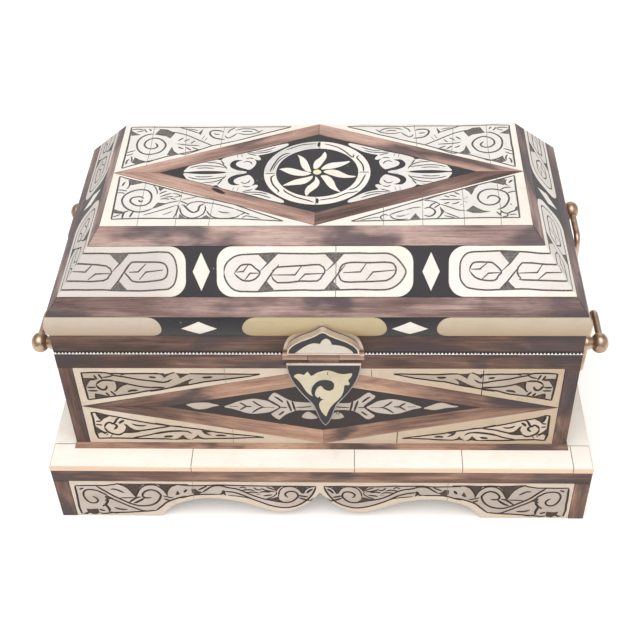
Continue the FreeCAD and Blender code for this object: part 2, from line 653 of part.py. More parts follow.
RING_RO, RING_RI = 30.9, 23.6
RING_CUTS = [88.0, 182.0, 270.0, 358.0]
segs = []
for k in range(4):
    a0, a1 = RING_CUTS[k], RING_CUTS[(k + 1) % 4] + (360 if k == 3 else 0)
    p = arc(0, 0, RING_RO, a0, a1, 24) + arc(0, 0, RING_RI, a1, a0, 24)
    segs.append(top_plate(p, zt0, zt1))
save("top_ring", segs)

PETAL = [(22.1, 0.0), (19.9, -1.3), (15.9, -2.0), (11.1, -1.5), (6.8, -0.5), (3.4, 0.9), (4.4, 3.2), (8.3, 4.4),
         (12.5, 3.9), (16.9, 2.3)]
petals = []
for k in range(8):
    a = math.radians(172.5 + 45 * k)
    p = [(u * math.cos(a) - v * math.sin(a), u * math.sin(a) + v * math.cos(a)) for u, v in smooth(PETAL)]
    petals.append(top_plate(p, zt0, zt1))
bead = Part.makeCylinder(2.3, SKIN, V(0, 0, zt0))
save("top_flower", petals + [bead])

PALMETTE = [(-77.6, 1.0), (-76.4, 4.0), (-74.2, 7.2), (-70.3, 9.2), (-65.9, 10.0), (-65.2, 10.9), (-63.0, 12.2),
            (-59.5, 12.8), (-57.1, 12.3), (-55.8, 14.0), (-53.3, 15.5), (-49.9, 17.0), (-44.7, 18.8), (-38.9, 21.0),
            (-32.5, 23.8), (-26.8, 26.4), (-23.2, 27.8), (-21.6, 27.0), (-22.0, 24.6), (-23.8, 22.3), (-26.8, 19.9),
            (-31.2, 18.1), (-35.0, 16.8), (-33.9, 14.7), (-33.4, 12.6), (-35.0, 12.0), (-37.1, 12.8), (-35.9, 10.7),
            (-36.1, 7.7), (-37.4, 4.7), (-39.4, 2.6), (-42.3, 3.6), (-45.6, 5.2), (-47.6, 7.4), (-47.4, 9.8),
            (-45.5, 11.3), (-44.0, 11.9), (-45.9, 12.3), (-48.5, 12.1), (-50.5, 10.0), (-51.1, 7.0), (-49.9, 4.5),
            (-47.4, 2.7), (-44.4, 1.7), (-41.5, 0.8), (-41.4, 0.0), (-51.3, 0.0), (-54.3, 0.8), (-59.0, 1.4),
            (-64.8, 1.6), (-70.6, 1.3), (-75.2, 0.6)]
half = smooth(PALMETTE, 2)
low = [(u, -v) for u, v in reversed(half)]
pals = []
for p in (half, low, mirror(half), mirror(low)):
    q = [(u, v if abs(v) > 0.02 else 0.0) for u, v in p]
    pals.append(top_plate(q, zt0, zt1))
inside = top_plate(inset(rhomb, 0.4), zt0, zt1)
left_pal = solids(pals[0].fuse(pals[1]).removeSplitter().common(inside))
right_pal = solids(pals[2].fuse(pals[3]).removeSplitter().common(inside))
save("top_palmettes", left_pal + right_pal)

ground = top_plate(rhomb, zt0, zt1)
for s in segs + petals + [bead] + left_pal + right_pal:
    ground = ground.cut(s)
save("top_black_lozenge", solids(ground))

# ---------------------------------------------------------------- lid hinges
GAP = 0.3
MID = 5.6                                    # half length of the lid's middle knuckle
HL = 0.5 * HINGE_L
case_leaves, lid_leaves, pins, cscrews, lscrews = [], [], [], [], []
for hx in (-HINGE_X, HINGE_X):
    barrel = lambda x0, x1, r: cyl_x(hx + x0, hx + x1, HINGE_Y, HINGE_Z, r)
    leaf = box(hx - HL, CASE_HY, 119.4, hx + HL, CASE_HY + LEAF_T, HINGE_Z - 0.7)
    leaf = leaf.cut(barrel(-MID - GAP, MID + GAP, KNUCKLE_R + GAP))
    for a, b in ((-HL, -MID - GAP), (MID + GAP, HL)):
        leaf = leaf.fuse(barrel(a, b, KNUCKLE_R))
    leaf = leaf.cut(barrel(-HL - 1, HL + 1, PIN_R))
    for d in (-11.0, 0.0, 11.0):
        leaf = leaf.cut(screw_hole(hx + d, CASE_SCREW_Z))
        cscrews.append(screw(hx + d, CASE_SCREW_Z))
        lscrews.append(screw(hx + d, LID_SCREW_Z))
    case_leaves += solids(leaf.removeSplitter())
    leaf = box(hx - HL, CASE_HY, HINGE_Z + 0.7, hx + HL, CASE_HY + LEAF_T, 142.8)
    for a, b in ((-HL - 1, -MID), (MID, HL + 1)):
        leaf = leaf.cut(barrel(a, b, KNUCKLE_R + GAP))
    leaf = leaf.fuse(barrel(-MID, MID, KNUCKLE_R))
    heel = box(hx - MID, CASE_HY + LEAF_T + 0.03, HINGE_Z - 5.4, hx + MID, HINGE_Y, HINGE_Z - 1.3)
    heel.rotate(V(0, HINGE_Y, HINGE_Z), V(1, 0, 0), LID_STOP)
    leaf = leaf.fuse(heel)
    leaf = leaf.cut(barrel(-HL - 1, HL + 1, PIN_R + 0.05))
    for d in (-11.0, 0.0, 11.0):
        leaf = leaf.cut(screw_hole(hx + d, LID_SCREW_Z))
    lid_leaves += solids(leaf.removeSplitter())
    pins.append(barrel(-HL, HL, PIN_R))
save("hinge_case_leaves", case_leaves)
save("hinge_lid_leaves", lid_leaves)
save("hinge_pins", pins)
save("hinge_case_screws", cscrews)
save("hinge_lid_screws", lscrews)

# ---------------------------------------------------------------- hasp
DOME_Z0 = 135.6
DOME = [(-20.4, DOME_Z0), (-20.2, 137.0), (-19.3, 140.3), (-16.7, 143.4), (-12.7, 146.3), (-8.2, 148.5), (-4.3, 150.7),
        (-2.0, 152.5), (0.0, 153.4), (2.0, 152.5), (4.3, 150.7), (8.2, 148.5), (12.7, 146.3), (16.7, 143.4),
        (19.3, 140.3), (20.2, 137.0), (20.4, DOME_Z0)]
DOME_BONE = [(-16.0, DOME_Z0 + 0.9), (-13.6, 138.8), (-10.7, 141.4), (-7.8, 143.5), (-5.0, 144.4), (-2.8, 144.1),
             (-1.6, 143.9), (-0.6, 146.2), (0.9, 147.7), (2.1, 148.0), (3.7, 147.0), (4.7, 144.7), (5.0, 143.3),
             (7.7, 143.0), (11.0, 142.1), (13.7, 140.6), (16.0, 138.4), (17.0, DOME_Z0 + 0.9)]
FLANGE_T, BOX_W = 1.2, 6.2
HASP_Y = -CASE_HY - HASP_AX_W
hbar = lambda x0, x1, r: cyl_x(HASP_X + x0, HASP_X + x1, HASP_Y, HASP_AX_Z, r)

dome_pts = shift(polyline_smooth(DOME, 3, (8,)), HASP_X)
dome_in = inset(dome_pts, 0.8)
dome = wall_plate("front", flange_pts, 0, FLANGE_T)
dome = dome.fuse(wall_plate("front", dome_pts, FLANGE_T - 0.2, BOX_W))
dome = dome.cut(wall_plate("front", dome_in, BOX_W - 1.6, BOX_W + 1))
dome = dome.cut(hbar(-HASP_MID - GAP, HASP_MID + GAP, HASP_R + GAP))
for a, b in ((-23.0, -HASP_MID - GAP), (HASP_MID + GAP, 23.0)):
    dome = dome.fuse(hbar(a, b, HASP_R))
dome = dome.cut(hbar(-30, 30, HASP_PIN_R)).removeSplitter()
save("hasp_dome", solids(dome))
dome_bone = wall_plate("front", shift(polyline_smooth(DOME_BONE, 2, (6, 12)), HASP_X), BOX_W - 1.6, BOX_W - 0.1)
dome_black = wall_plate("front", dome_in, BOX_W - 1.6, BOX_W - 0.3).cut(dome_bone)
save("hasp_dome_black", solids(dome_black))
save("hasp_dome_bone", [dome_bone])
save("hasp_pin", [hbar(-23.0, 23.0, HASP_PIN_R)])

FLAP_Z1 = 126.2
FLAP = [(-21.2, FLAP_Z1), (-21.1, 122.0), (-20.2, 117.0), (-18.5, 111.4), (-15.9, 105.8), (-12.6, 99.9), (-9.4, 95.2),
        (-7.0, 91.2), (-5.4, 86.1), (-3.8, 80.3), (-2.1, 76.0), (0.0, 73.2), (2.1, 76.0), (3.8, 80.3), (5.4, 86.1),
        (7.0, 91.2), (9.4, 95.2), (12.6, 99.9), (15.9, 105.8), (18.5, 111.4), (20.2, 117.0), (21.1, 122.0),
        (21.2, FLAP_Z1)]
FLAP_BONE = [(-17.1, 116.7), (-15.3, 117.6), (-11.9, 117.3), (-10.4, 119.1), (-9.3, 120.1), (-7.9, 118.3),
             (-6.8, 117.1), (-5.0, 118.6), (-2.1, 120.3), (1.9, 120.8), (5.8, 119.8), (9.8, 117.7), (13.2, 117.4),
             (16.1, 118.4), (15.8, 115.5), (14.3, 113.0), (13.5, 112.3), (13.9, 110.5), (14.3, 109.1), (11.4, 108.8),
             (11.1, 105.9), (9.6, 101.7), (7.2, 97.4), (4.5, 93.9), (2.6, 90.5), (1.1, 86.1), (0.1, 82.3),
             (-1.6, 83.9), (-3.0, 86.9), (-3.3, 90.4), (-2.6, 93.9), (-0.7, 97.2), (-3.9, 97.7), (-6.2, 98.8),
             (-9.1, 101.2), (-11.3, 104.5), (-13.4, 109.2), (-15.5, 113.4)]
FLAP_EYE = [(-7.7, 105.8), (-6.8, 109.2), (-4.7, 111.9), (-1.7, 113.2), (1.7, 113.4), (4.5, 112.1), (5.8, 109.2),
            (5.1, 106.0), (3.2, 104.2), (0.9, 104.3), (-1.1, 106.3), (-1.9, 108.2), (-3.9, 106.7), (-5.5, 104.2),
            (-5.7, 101.6), (-6.6, 101.3), (-7.5, 102.9)]
FW0, FW1, FW2 = 0.5, 1.7, 3.6
flap_pts = shift(polyline_smooth(FLAP, 3, (1, 11, 21)), HASP_X)
flap_in = shift(polyline_smooth([(u, min(z, FLAP_Z1 - 1.2)) for u, z in FLAP], 3, (1, 11, 21)), HASP_X)
flap_in = inset(flap_in, 0.6)
flap = wall_plate("front", flap_pts, FW0, FW2)
flap = flap.cut(wall_plate("front", flap_in, FW1, FW2 + 1))
tab = [(HASP_X - HASP_MID, FLAP_Z1 - 1), (HASP_X + HASP_MID, FLAP_Z1 - 1), (HASP_X + HASP_MID, HASP_AX_Z),
       (HASP_X - HASP_MID, HASP_AX_Z)]
flap = flap.fuse(wall_plate("front", tab, FW0 + 0.05, FW1))
flap = flap.fuse(hbar(-HASP_MID, HASP_MID, HASP_R))
flap = flap.cut(hbar(-30, 30, HASP_PIN_R + 0.05)).removeSplitter()
save("hasp_flap", solids(flap))
eye = wall_plate("front", shift(smooth(FLAP_EYE, 2), HASP_X), FW1 - 1, FW2 + 1)
flap_bone = wall_plate("front", shift(smooth(FLAP_BONE, 2), HASP_X), FW1, FW2).cut(eye)
flap_black = wall_plate("front", flap_in, FW1, FW2 - 0.25).cut(flap_bone)
save("hasp_flap_black", solids(flap_black))
save("hasp_flap_bone", solids(flap_bone))
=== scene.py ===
import bpy
import bmesh
import json
import math
import random
import numpy as np
from mathutils import Matrix, Vector
from mathutils.geometry import delaunay_2d_cdt
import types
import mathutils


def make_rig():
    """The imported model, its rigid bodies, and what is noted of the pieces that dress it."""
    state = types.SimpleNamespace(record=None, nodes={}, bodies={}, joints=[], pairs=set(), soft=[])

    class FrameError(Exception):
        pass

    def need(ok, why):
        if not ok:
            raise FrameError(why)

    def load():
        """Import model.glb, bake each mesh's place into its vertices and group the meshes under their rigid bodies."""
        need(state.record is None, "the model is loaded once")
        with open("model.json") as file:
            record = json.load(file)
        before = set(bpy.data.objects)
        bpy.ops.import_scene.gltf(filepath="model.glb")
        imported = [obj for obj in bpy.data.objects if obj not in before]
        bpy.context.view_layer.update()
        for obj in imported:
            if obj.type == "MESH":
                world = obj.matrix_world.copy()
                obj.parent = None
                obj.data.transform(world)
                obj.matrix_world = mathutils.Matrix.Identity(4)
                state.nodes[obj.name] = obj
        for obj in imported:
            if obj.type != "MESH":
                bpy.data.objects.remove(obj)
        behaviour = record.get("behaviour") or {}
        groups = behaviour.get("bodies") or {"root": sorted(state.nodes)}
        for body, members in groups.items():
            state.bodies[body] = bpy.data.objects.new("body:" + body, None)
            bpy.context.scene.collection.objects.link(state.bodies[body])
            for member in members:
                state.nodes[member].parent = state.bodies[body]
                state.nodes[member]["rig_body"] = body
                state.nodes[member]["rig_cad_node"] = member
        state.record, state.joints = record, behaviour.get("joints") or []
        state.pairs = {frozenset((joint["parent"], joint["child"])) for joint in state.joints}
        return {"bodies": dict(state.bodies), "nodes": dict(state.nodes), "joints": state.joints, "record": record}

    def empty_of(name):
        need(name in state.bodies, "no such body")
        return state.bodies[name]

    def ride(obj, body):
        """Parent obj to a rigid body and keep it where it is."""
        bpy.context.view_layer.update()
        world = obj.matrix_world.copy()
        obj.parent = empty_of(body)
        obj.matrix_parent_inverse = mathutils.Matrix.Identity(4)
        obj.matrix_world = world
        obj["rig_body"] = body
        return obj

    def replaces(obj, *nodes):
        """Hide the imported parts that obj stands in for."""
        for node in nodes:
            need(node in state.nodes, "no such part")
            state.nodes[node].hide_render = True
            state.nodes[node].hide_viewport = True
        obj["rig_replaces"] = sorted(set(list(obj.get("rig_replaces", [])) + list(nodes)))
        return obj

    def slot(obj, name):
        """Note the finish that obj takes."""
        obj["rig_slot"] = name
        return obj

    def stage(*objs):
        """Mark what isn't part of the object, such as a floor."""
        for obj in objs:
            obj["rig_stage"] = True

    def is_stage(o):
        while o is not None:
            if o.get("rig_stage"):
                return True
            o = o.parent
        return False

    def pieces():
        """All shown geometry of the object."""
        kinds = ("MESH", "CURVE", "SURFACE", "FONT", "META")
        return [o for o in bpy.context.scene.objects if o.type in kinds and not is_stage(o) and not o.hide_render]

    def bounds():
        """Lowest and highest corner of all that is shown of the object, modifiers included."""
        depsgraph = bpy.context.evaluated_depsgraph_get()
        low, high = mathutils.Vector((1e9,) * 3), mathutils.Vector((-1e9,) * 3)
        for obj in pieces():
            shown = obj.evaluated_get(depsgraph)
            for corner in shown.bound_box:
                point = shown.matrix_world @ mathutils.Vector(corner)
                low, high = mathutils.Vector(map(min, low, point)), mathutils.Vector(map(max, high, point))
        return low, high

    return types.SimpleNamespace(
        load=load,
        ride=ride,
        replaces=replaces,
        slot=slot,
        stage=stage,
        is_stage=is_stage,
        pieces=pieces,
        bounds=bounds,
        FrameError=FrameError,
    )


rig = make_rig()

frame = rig.load()
NODES = frame["nodes"]
cad_lo, cad_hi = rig.bounds()
MM = 0.001
scene = bpy.context.scene

# ------------------------------------------------------------------ the part's own dimensions (mm)
CASE_HX, CASE_HY, DIFF = 150.0, 81.0, 69.0
PL_HX, PL_HY, PL_STILE, RAIL_Z0 = 165.0, 97.0, 9.5, 34.8
BAND_Z1, LID_Z1 = 158.3, 197.8
TOP_HX, TOP_HY = 118.5, 49.5
SKIN = 2.0
RUN, RISE = CASE_HY - TOP_HY, LID_Z1 - BAND_Z1
SLEN = math.hypot(RUN, RISE)
CR, SR = RUN / SLEN, RISE / SLEN
S_LO, S_HI = 11.3, 39.3
CZ, CV = 85.7, 32.7
FRONT_CX = 2.6


def wall_map(side, hx, hy):
    def f(u, v, w):
        if side == "front":
            p = (u, -hy - w, v)
        elif side == "back":
            p = (-u, hy + w, v)
        elif side == "right":
            p = (hx + w, u, v)
        else:
            p = (-hx - w, -u, v)
        return (p[0] * MM, p[1] * MM, p[2] * MM)
    return f


def slope_map(side):
    def f(u, s, w):
        r = CASE_HY - s * CR + w * SR
        z = BAND_Z1 + s * SR + w * CR
        if side == "front":
            p = (u, -r, z)
        elif side == "back":
            p = (-u, r, z)
        elif side == "right":
            p = (r + DIFF, u, z)
        else:
            p = (-r - DIFF, -u, z)
        return (p[0] * MM, p[1] * MM, p[2] * MM)
    return f


def top_map(u, v, w):
    return (u * MM, v * MM, (LID_Z1 + w) * MM)


# ------------------------------------------------------------------ flat drawing helpers
def curve(pts, n=6, closed=False):
    """Catmull-Rom curve through the points."""
    m = len(pts)
    if m < 3 and not closed:
        return list(pts)
    out = []
    for i in range(m if closed else m - 1):
        if closed:
            p0, p1, p2, p3 = pts[i - 1], pts[i], pts[(i + 1) % m], pts[(i + 2) % m]
        else:
            p1, p2 = pts[i], pts[i + 1]
            p0 = pts[i - 1] if i > 0 else (2 * p1[0] - p2[0], 2 * p1[1] - p2[1])
            p3 = pts[i + 2] if i + 2 < m else (2 * p2[0] - p1[0], 2 * p2[1] - p1[1])
        for k in range(n):
            t = k / n
            out.append(tuple(0.5 * (2 * p1[j] + (p2[j] - p0[j]) * t
                                    + (2 * p0[j] - 5 * p1[j] + 4 * p2[j] - p3[j]) * t * t
                                    + (3 * p1[j] - p0[j] - 3 * p2[j] + p3[j]) * t ** 3) for j in (0, 1)))
    if not closed:
        out.append(tuple(pts[-1]))
    return out


def ribbon(pts, width, taper=0.35):
    """Outline of a cut line of that width along the points, thinner at its two ends."""
    p = [pts[0]]
    for q in pts[1:]:
        if math.hypot(q[0] - p[-1][0], q[1] - p[-1][1]) > 0.05:
            p.append(q)
    if len(p) < 2:
        return None
    run = [0.0]
    for a, b in zip(p, p[1:]):
        run.append(run[-1] + math.hypot(b[0] - a[0], b[1] - a[1]))
    total = run[-1]
    left, right = [], []
    for i, c in enumerate(p):
        a, b = p[max(0, i - 1)], p[min(len(p) - 1, i + 1)]
        d1 = (c[0] - a[0], c[1] - a[1])
        d2 = (b[0] - c[0], b[1] - c[1])
        l1, l2 = math.hypot(*d1) or 1.0, math.hypot(*d2) or 1.0
        if i == 0:
            d1, l1 = d2, l2
        if i == len(p) - 1:
            d2, l2 = d1, l1
        tx, ty = d1[0] / l1 + d2[0] / l2, d1[1] / l1 + d2[1] / l2
        tl = math.hypot(tx, ty)
        if tl < 0.25:
            tx, ty, tl = d1[0] / l1, d1[1] / l1, 1.0
        tx, ty = tx / tl, ty / tl
        edge = min(run[i], total - run[i])
        k = min(1.0, edge / max(0.6, min(3.0, 0.3 * total)))
        h = 0.5 * width * (taper + (1 - taper) * math.sin(0.5 * math.pi * k))
        left.append((c[0] - ty * h, c[1] + tx * h))
        right.append((c[0] + ty * h, c[1] - tx * h))
    return left + right[::-1]


def inset(pts, d):
    """Offset a closed polygon inward by d; folded-over points are dropped."""
    area = sum(pts[i - 1][0] * pts[i][1] - pts[i][0] * pts[i - 1][1] for i in range(len(pts)))
    s = 1.0 if area > 0 else -1.0
    item = []
    m = len(pts)
    for i in range(m):
        a, b, c = pts[i - 1], pts[i], pts[(i + 1) % m]
        e1, e2 = (b[0] - a[0], b[1] - a[1]), (c[0] - b[0], c[1] - b[1])
        l1, l2 = math.hypot(*e1), math.hypot(*e2)
        n1, n2 = (-e1[1] / l1 * s, e1[0] / l1 * s), (-e2[1] / l2 * s, e2[0] / l2 * s)
        q = max(0.35, 1 + n1[0] * n2[0] + n1[1] * n2[1])
        item.append((b, (b[0] + d * (n1[0] + n2[0]) / q, b[1] + d * (n1[1] + n2[1]) / q), q))
    again = True
    while again and len(item) > 3:
        again = False
        for i in range(len(item)):
            j = (i + 1) % len(item)
            (o1, w1, q1), (o2, w2, q2) = item[i], item[j]
            if (w2[0] - w1[0]) * (o2[0] - o1[0]) + (w2[1] - w1[1]) * (o2[1] - o1[1]) <= 0.0:
                item.pop(i if q1 > q2 else j)
                again = True
                break
    return [w for o, w, q in item]


def ccw(pts):
    a = sum(pts[i - 1][0] * pts[i][1] - pts[i][0] * pts[i - 1][1] for i in range(len(pts)))
    return list(pts) if a > 0 else list(pts)[::-1]


def spiral(cx, cy, r0, r1, a0, turns, n=22):
    """Points from radius r0 in to r1; turns above 0 run anticlockwise."""
    m = max(6, int(abs(turns) * n))
    out = []
    for k in range(m + 1):
        t = k / m
        a = math.radians(a0) + 2 * math.pi * turns * t
        r = r0 + (r1 - r0) * t
        out.append((cx + r * math.cos(a), cy + r * math.sin(a)))
    return out


def arc(cx, cy, r, a0, a1, n):
    return [(cx + r * math.cos(math.radians(a0 + (a1 - a0) * k / n)),
             cy + r * math.sin(math.radians(a0 + (a1 - a0) * k / n))) for k in range(n + 1)]


class Pen:
    """Collects cut shapes on one plate. The move function places the drawing on the plate."""

    def __init__(self, move=None, width=1.0):
        self.shapes = []
        self.move = move or (lambda u, v: (u, v))
        self.k = width

    def _put(self, pts):
        return [self.move(u, v) for u, v in pts]

    def line(self, pts, w, n=6, taper=0.35):
        r = ribbon(self._put(curve(pts, n)), w * self.k, taper)
        if r:
            self.shapes.append((r, 1))

    def poly(self, pts, w, taper=0.8):
        """Straight runs with mitred corners."""
        dense = []
        for a, b in zip(pts, pts[1:]):
            m = max(1, int(math.hypot(b[0] - a[0], b[1] - a[1]) / 4))
            dense += [(a[0] + (b[0] - a[0]) * k / m, a[1] + (b[1] - a[1]) * k / m) for k in range(m)]
        dense.append(pts[-1])
        r = ribbon(self._put(dense), w * self.k, taper)
        if r:
            self.shapes.append((r, 1))

    def dark(self, pts, n=3, soft=False):
        p = curve(pts, n, True) if soft else pts
        self.shapes.append((self._put(p), 1))

    def ground(self, pts):
        """Hatched dark ground."""
        self.shapes.append((self._put(pts), 3))

    def stain(self, pts):
        """Face of the plate inside its border, where the bone has taken up more dirt."""
        self.shapes.append((self._put(pts), 4))

    def joint(self, pts, w=0.22):
        r = ribbon(self._put(pts), w, 1.0)
        if r:
            self.shapes.append((r, 2))


def inside(poly, px, py):
    """Which of the points lie in the polygon."""
    q = np.asarray(poly, float)
    x0, y0 = q.min(0)
    x1, y1 = q.max(0)
    hit = np.zeros(len(px), bool)
    near = np.nonzero((px >= x0) & (px <= x1) & (py >= y0) & (py <= y1))[0]
    if len(near) == 0:
        return hit
    X, Y = px[near], py[near]
    wn = np.zeros(len(near), int)
    a = q
    b = np.roll(q, -1, 0)
    for (ax, ay), (bx, by) in zip(a, b):
        up = (ay <= Y) & (by > Y)
        dn = (ay > Y) & (by <= Y)
        side = (bx - ax) * (Y - ay) - (X - ax) * (by - ay)
        wn += (up & (side > 0)).astype(int) - (dn & (side < 0)).astype(int)
    hit[near] = wn != 0
    return hit


class Plates:
    """One piece made of flat cut plates. Each plate is a closed body with its lines cut into its face."""

    def __init__(self, name, body, nodes, slot):
        self.name, self.body, self.nodes, self.slot = name, body, nodes, slot
        self.v, self.f, self.mat, self.tone, self.grain = [], [], [], [], []

    def add(self, outline, shapes, put, depth=0.22, thick=SKIN, gap=0.10, cham=0.16, cuts=(), seed=1):
        rnd = random.Random(seed)
        rim = ccw(outline)
        low = inset(rim, gap)
        dom = inset(rim, gap + cham)
        verts, edges = [], []

        def take(poly):
            s = len(verts)
            verts.extend(Vector(p) for p in poly)
            edges.extend((s + i, s + (i + 1) % len(poly)) for i in range(len(poly)))

        take(dom)
        for poly, level in shapes:
            take(poly)
        vo, eo, fo, _, _, _ = delaunay_2d_cdt(verts, edges, [], 0, 0.004)
        co = np.array([(p[0], p[1]) for p in vo])
        tri = np.array([t for t in fo if len(t) == 3], int)
        cen = co[tri].mean(1)
        a, b, c = co[tri[:, 0]], co[tri[:, 1]], co[tri[:, 2]]
        area = 0.5 * ((b[:, 0] - a[:, 0]) * (c[:, 1] - a[:, 1]) - (b[:, 1] - a[:, 1]) * (c[:, 0] - a[:, 0]))
        flip = area < 0
        tri[flip] = tri[flip][:, ::-1]
        keep = inside(dom, cen[:, 0], cen[:, 1]) & (np.abs(area) > 1e-9)
        level = np.zeros(len(tri), int)
        for poly, lv in shapes:
            level[inside(poly, cen[:, 0], cen[:, 1])] = lv
        tri, level, cen = tri[keep], level[keep], cen[keep]
        drop = {0: 0.0, 1: -depth, 2: -0.8 * depth, 3: -depth, 4: 0.0}
        tone_of = [rnd.random() for _ in range(len(cuts) + 1)]
        cut = sorted(cuts)

        def tile(u):
            return tone_of[sum(1 for x in cut if u > x)]

        index = {}

        def vert(i, lv):
            key = (i, drop[lv])
            if key not in index:
                index[key] = len(self.v)
                u, w = co[i]
                self.v.append(put(u, w, drop[lv]))
            return index[key]

        owner = {}
        for k, t in enumerate(tri):
            lv = level[k]
            ids = [vert(i, lv) for i in t]
            self.f.append(ids)
            self.mat.append(int(lv))
            self.tone.append(tile(cen[k][0]))
            for j in range(3):
                p, q = t[j], t[(j + 1) % 3]
                owner[(p, q)] = k
        follow = {}
        for (p, q), k in owner.items():
            other = owner.get((q, p))
            if other is None:
                follow[p] = (q, level[k])
            elif level[other] < level[k]:
                # this triangle lies lower than its neighbour: a wall between them
                hi_l, lo_l = level[other], level[k]
                if drop[hi_l] == drop[lo_l]:
                    continue
                self.f.append([vert(p, lo_l), vert(p, hi_l), vert(q, hi_l), vert(q, lo_l)][::-1]
                              if drop[lo_l] > drop[hi_l] else
                              [vert(q, lo_l), vert(q, hi_l), vert(p, hi_l), vert(p, lo_l)][::-1])
                self.mat.append(1)
                self.tone.append(0.5)
        # rim: walk the border, slope out over the edge break, then go down
        seen = set()
        for start in list(follow):
            if start in seen:
                continue
            loop, p = [], start
            while p not in seen and p in follow:
                seen.add(p)
                loop.append(p)
                p = follow[p][0]
            if len(loop) < 3:
                continue
            m = len(loop)
            lo_ids, bot_ids = [], []
            for i, p in enumerate(loop):
                a, b, c = co[loop[i - 1]], co[p], co[loop[(i + 1) % m]]
                e1, e2 = b - a, c - b
                l1, l2 = np.hypot(*e1) or 1.0, np.hypot(*e2) or 1.0
                n1, n2 = np.array([e1[1], -e1[0]]) / l1, np.array([e2[1], -e2[0]]) / l2
                q = max(0.35, 1 + n1 @ n2)
                o = b + cham * (n1 + n2) / q
                lo_ids.append(len(self.v))
                self.v.append(put(o[0], o[1], -cham - 0.0))
                bot_ids.append(len(self.v))
                self.v.append(put(o[0], o[1], -thick))
            for i, p in enumerate(loop):
                j = (i + 1) % m
                lv = follow[p][1]
                q = loop[j]
                tp, tq = vert(p, lv), vert(q, lv)
                self.f.append([tp, lo_ids[i], lo_ids[j], tq])
                self.mat.append(int(lv) if lv in (0, 4) else 1)
                self.tone.append(tile(co[p][0]))
                nlv = follow[q][1] if q in follow else lv
                if drop[nlv] != drop[lv]:
                    # close the small side gap where a cut line meets the rim
                    self.f.append([vert(q, lv), lo_ids[j], vert(q, nlv)])
                    self.mat.append(1)
                    self.tone.append(0.5)
                self.f.append([lo_ids[i], bot_ids[i], bot_ids[j], lo_ids[j]])
                self.mat.append(0)
                self.tone.append(tile(co[p][0]))
            self.f.append(bot_ids[::-1])
            self.mat.append(0)
            self.tone.append(0.5)

    def make(self, mats):
        me = bpy.data.meshes.new(self.name)
        me.from_pydata(self.v, [], self.f)
        me.validate()
        bm = bmesh.new()
        bm.from_mesh(me)
        bmesh.ops.recalc_face_normals(bm, faces=bm.faces)
        bm.to_mesh(me)
        bm.free()
        for m in mats:
            me.materials.append(m)
        me.polygons.foreach_set("material_index", np.array(self.mat, np.int32))
        t = me.attributes.new("tone", "FLOAT", "FACE")
        t.data.foreach_set("value", np.array(self.tone, np.float32))
        ob = bpy.data.objects.new(self.name, me)
        scene.collection.objects.link(ob)
        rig.ride(ob, self.body)
        if self.nodes:
            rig.replaces(ob, *self.nodes)
        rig.slot(ob, self.slot)
        return ob


# ------------------------------------------------------------------ materials
def node_tree(name):
    m = bpy.data.materials.new(name)
    m.use_nodes = True
    nt = m.node_tree
    return m, nt, nt.nodes["Principled BSDF"]


class Graph:
    def __init__(self, nt):
        self.nt = nt

    def node(self, kind, **kw):
        n = self.nt.nodes.new(kind)
        for k, v in kw.items():
            setattr(n, k, v)
        return n

    def link(self, a, b):
        self.nt.links.new(a, b)

    def noise(self, vec, scale, detail=4.0, rough=0.55, dist=0.0):
        n = self.node("ShaderNodeTexNoise")
        n.inputs["Scale"].default_value = scale
        n.inputs["Detail"].default_value = detail
        n.inputs["Roughness"].default_value = rough
        n.inputs["Distortion"].default_value = dist
        self.link(vec, n.inputs["Vector"])
        return n.outputs["Fac"]

    def scaled(self, vec, s):
        n = self.node("ShaderNodeMapping")
        n.inputs["Scale"].default_value = s
        self.link(vec, n.inputs["Vector"])
        return n.outputs["Vector"]

    def ramp(self, fac, stops, interp="LINEAR"):
        n = self.node("ShaderNodeValToRGB")
        r = n.color_ramp
        r.interpolation = interp
        while len(r.elements) < len(stops):
            r.elements.new(0.5)
        for e, (p, c) in zip(r.elements, stops):
            e.position = p
            e.color = (c[0], c[1], c[2], 1.0) if hasattr(c, "__len__") else (c, c, c, 1.0)
        self.link(fac, n.inputs["Fac"])
        return n.outputs["Color"]

    def mix(self, fac, a, b, mode="MIX"):
        n = self.node("ShaderNodeMix", data_type="RGBA", blend_type=mode)
        for sock, v in ((n.inputs["Factor"], fac), (n.inputs["A"], a), (n.inputs["B"], b)):
            if hasattr(v, "is_linked"):
                self.link(v, sock)
            elif hasattr(v, "__len__"):
                sock.default_value = (v[0], v[1], v[2], 1.0)
            else:
                sock.default_value = v
        return n.outputs["Result"]

    def math(self, op, a, b=0.0, clamp=False):
        n = self.node("ShaderNodeMath", operation=op, use_clamp=clamp)
        for i, v in enumerate((a, b)):
            if hasattr(v, "is_linked"):
                self.link(v, n.inputs[i])
            else:
                n.inputs[i].default_value = v
        return n.outputs[0]

    def attr(self, name):
        return self.node("ShaderNodeAttribute", attribute_name=name)

    def coords(self):
        return self.node("ShaderNodeTexCoord").outputs["Object"]

    def bump(self, height, strength, dist, bsdf, normal=None):
        n = self.node("ShaderNodeBump")
        n.inputs["Strength"].default_value = strength
        n.inputs["Distance"].default_value = dist
        self.link(height, n.inputs["Height"])
        if normal is not None:
            self.link(normal, n.inputs["Normal"])
        self.link(n.outputs["Normal"], bsdf.inputs["Normal"])
        return n.outputs["Normal"]


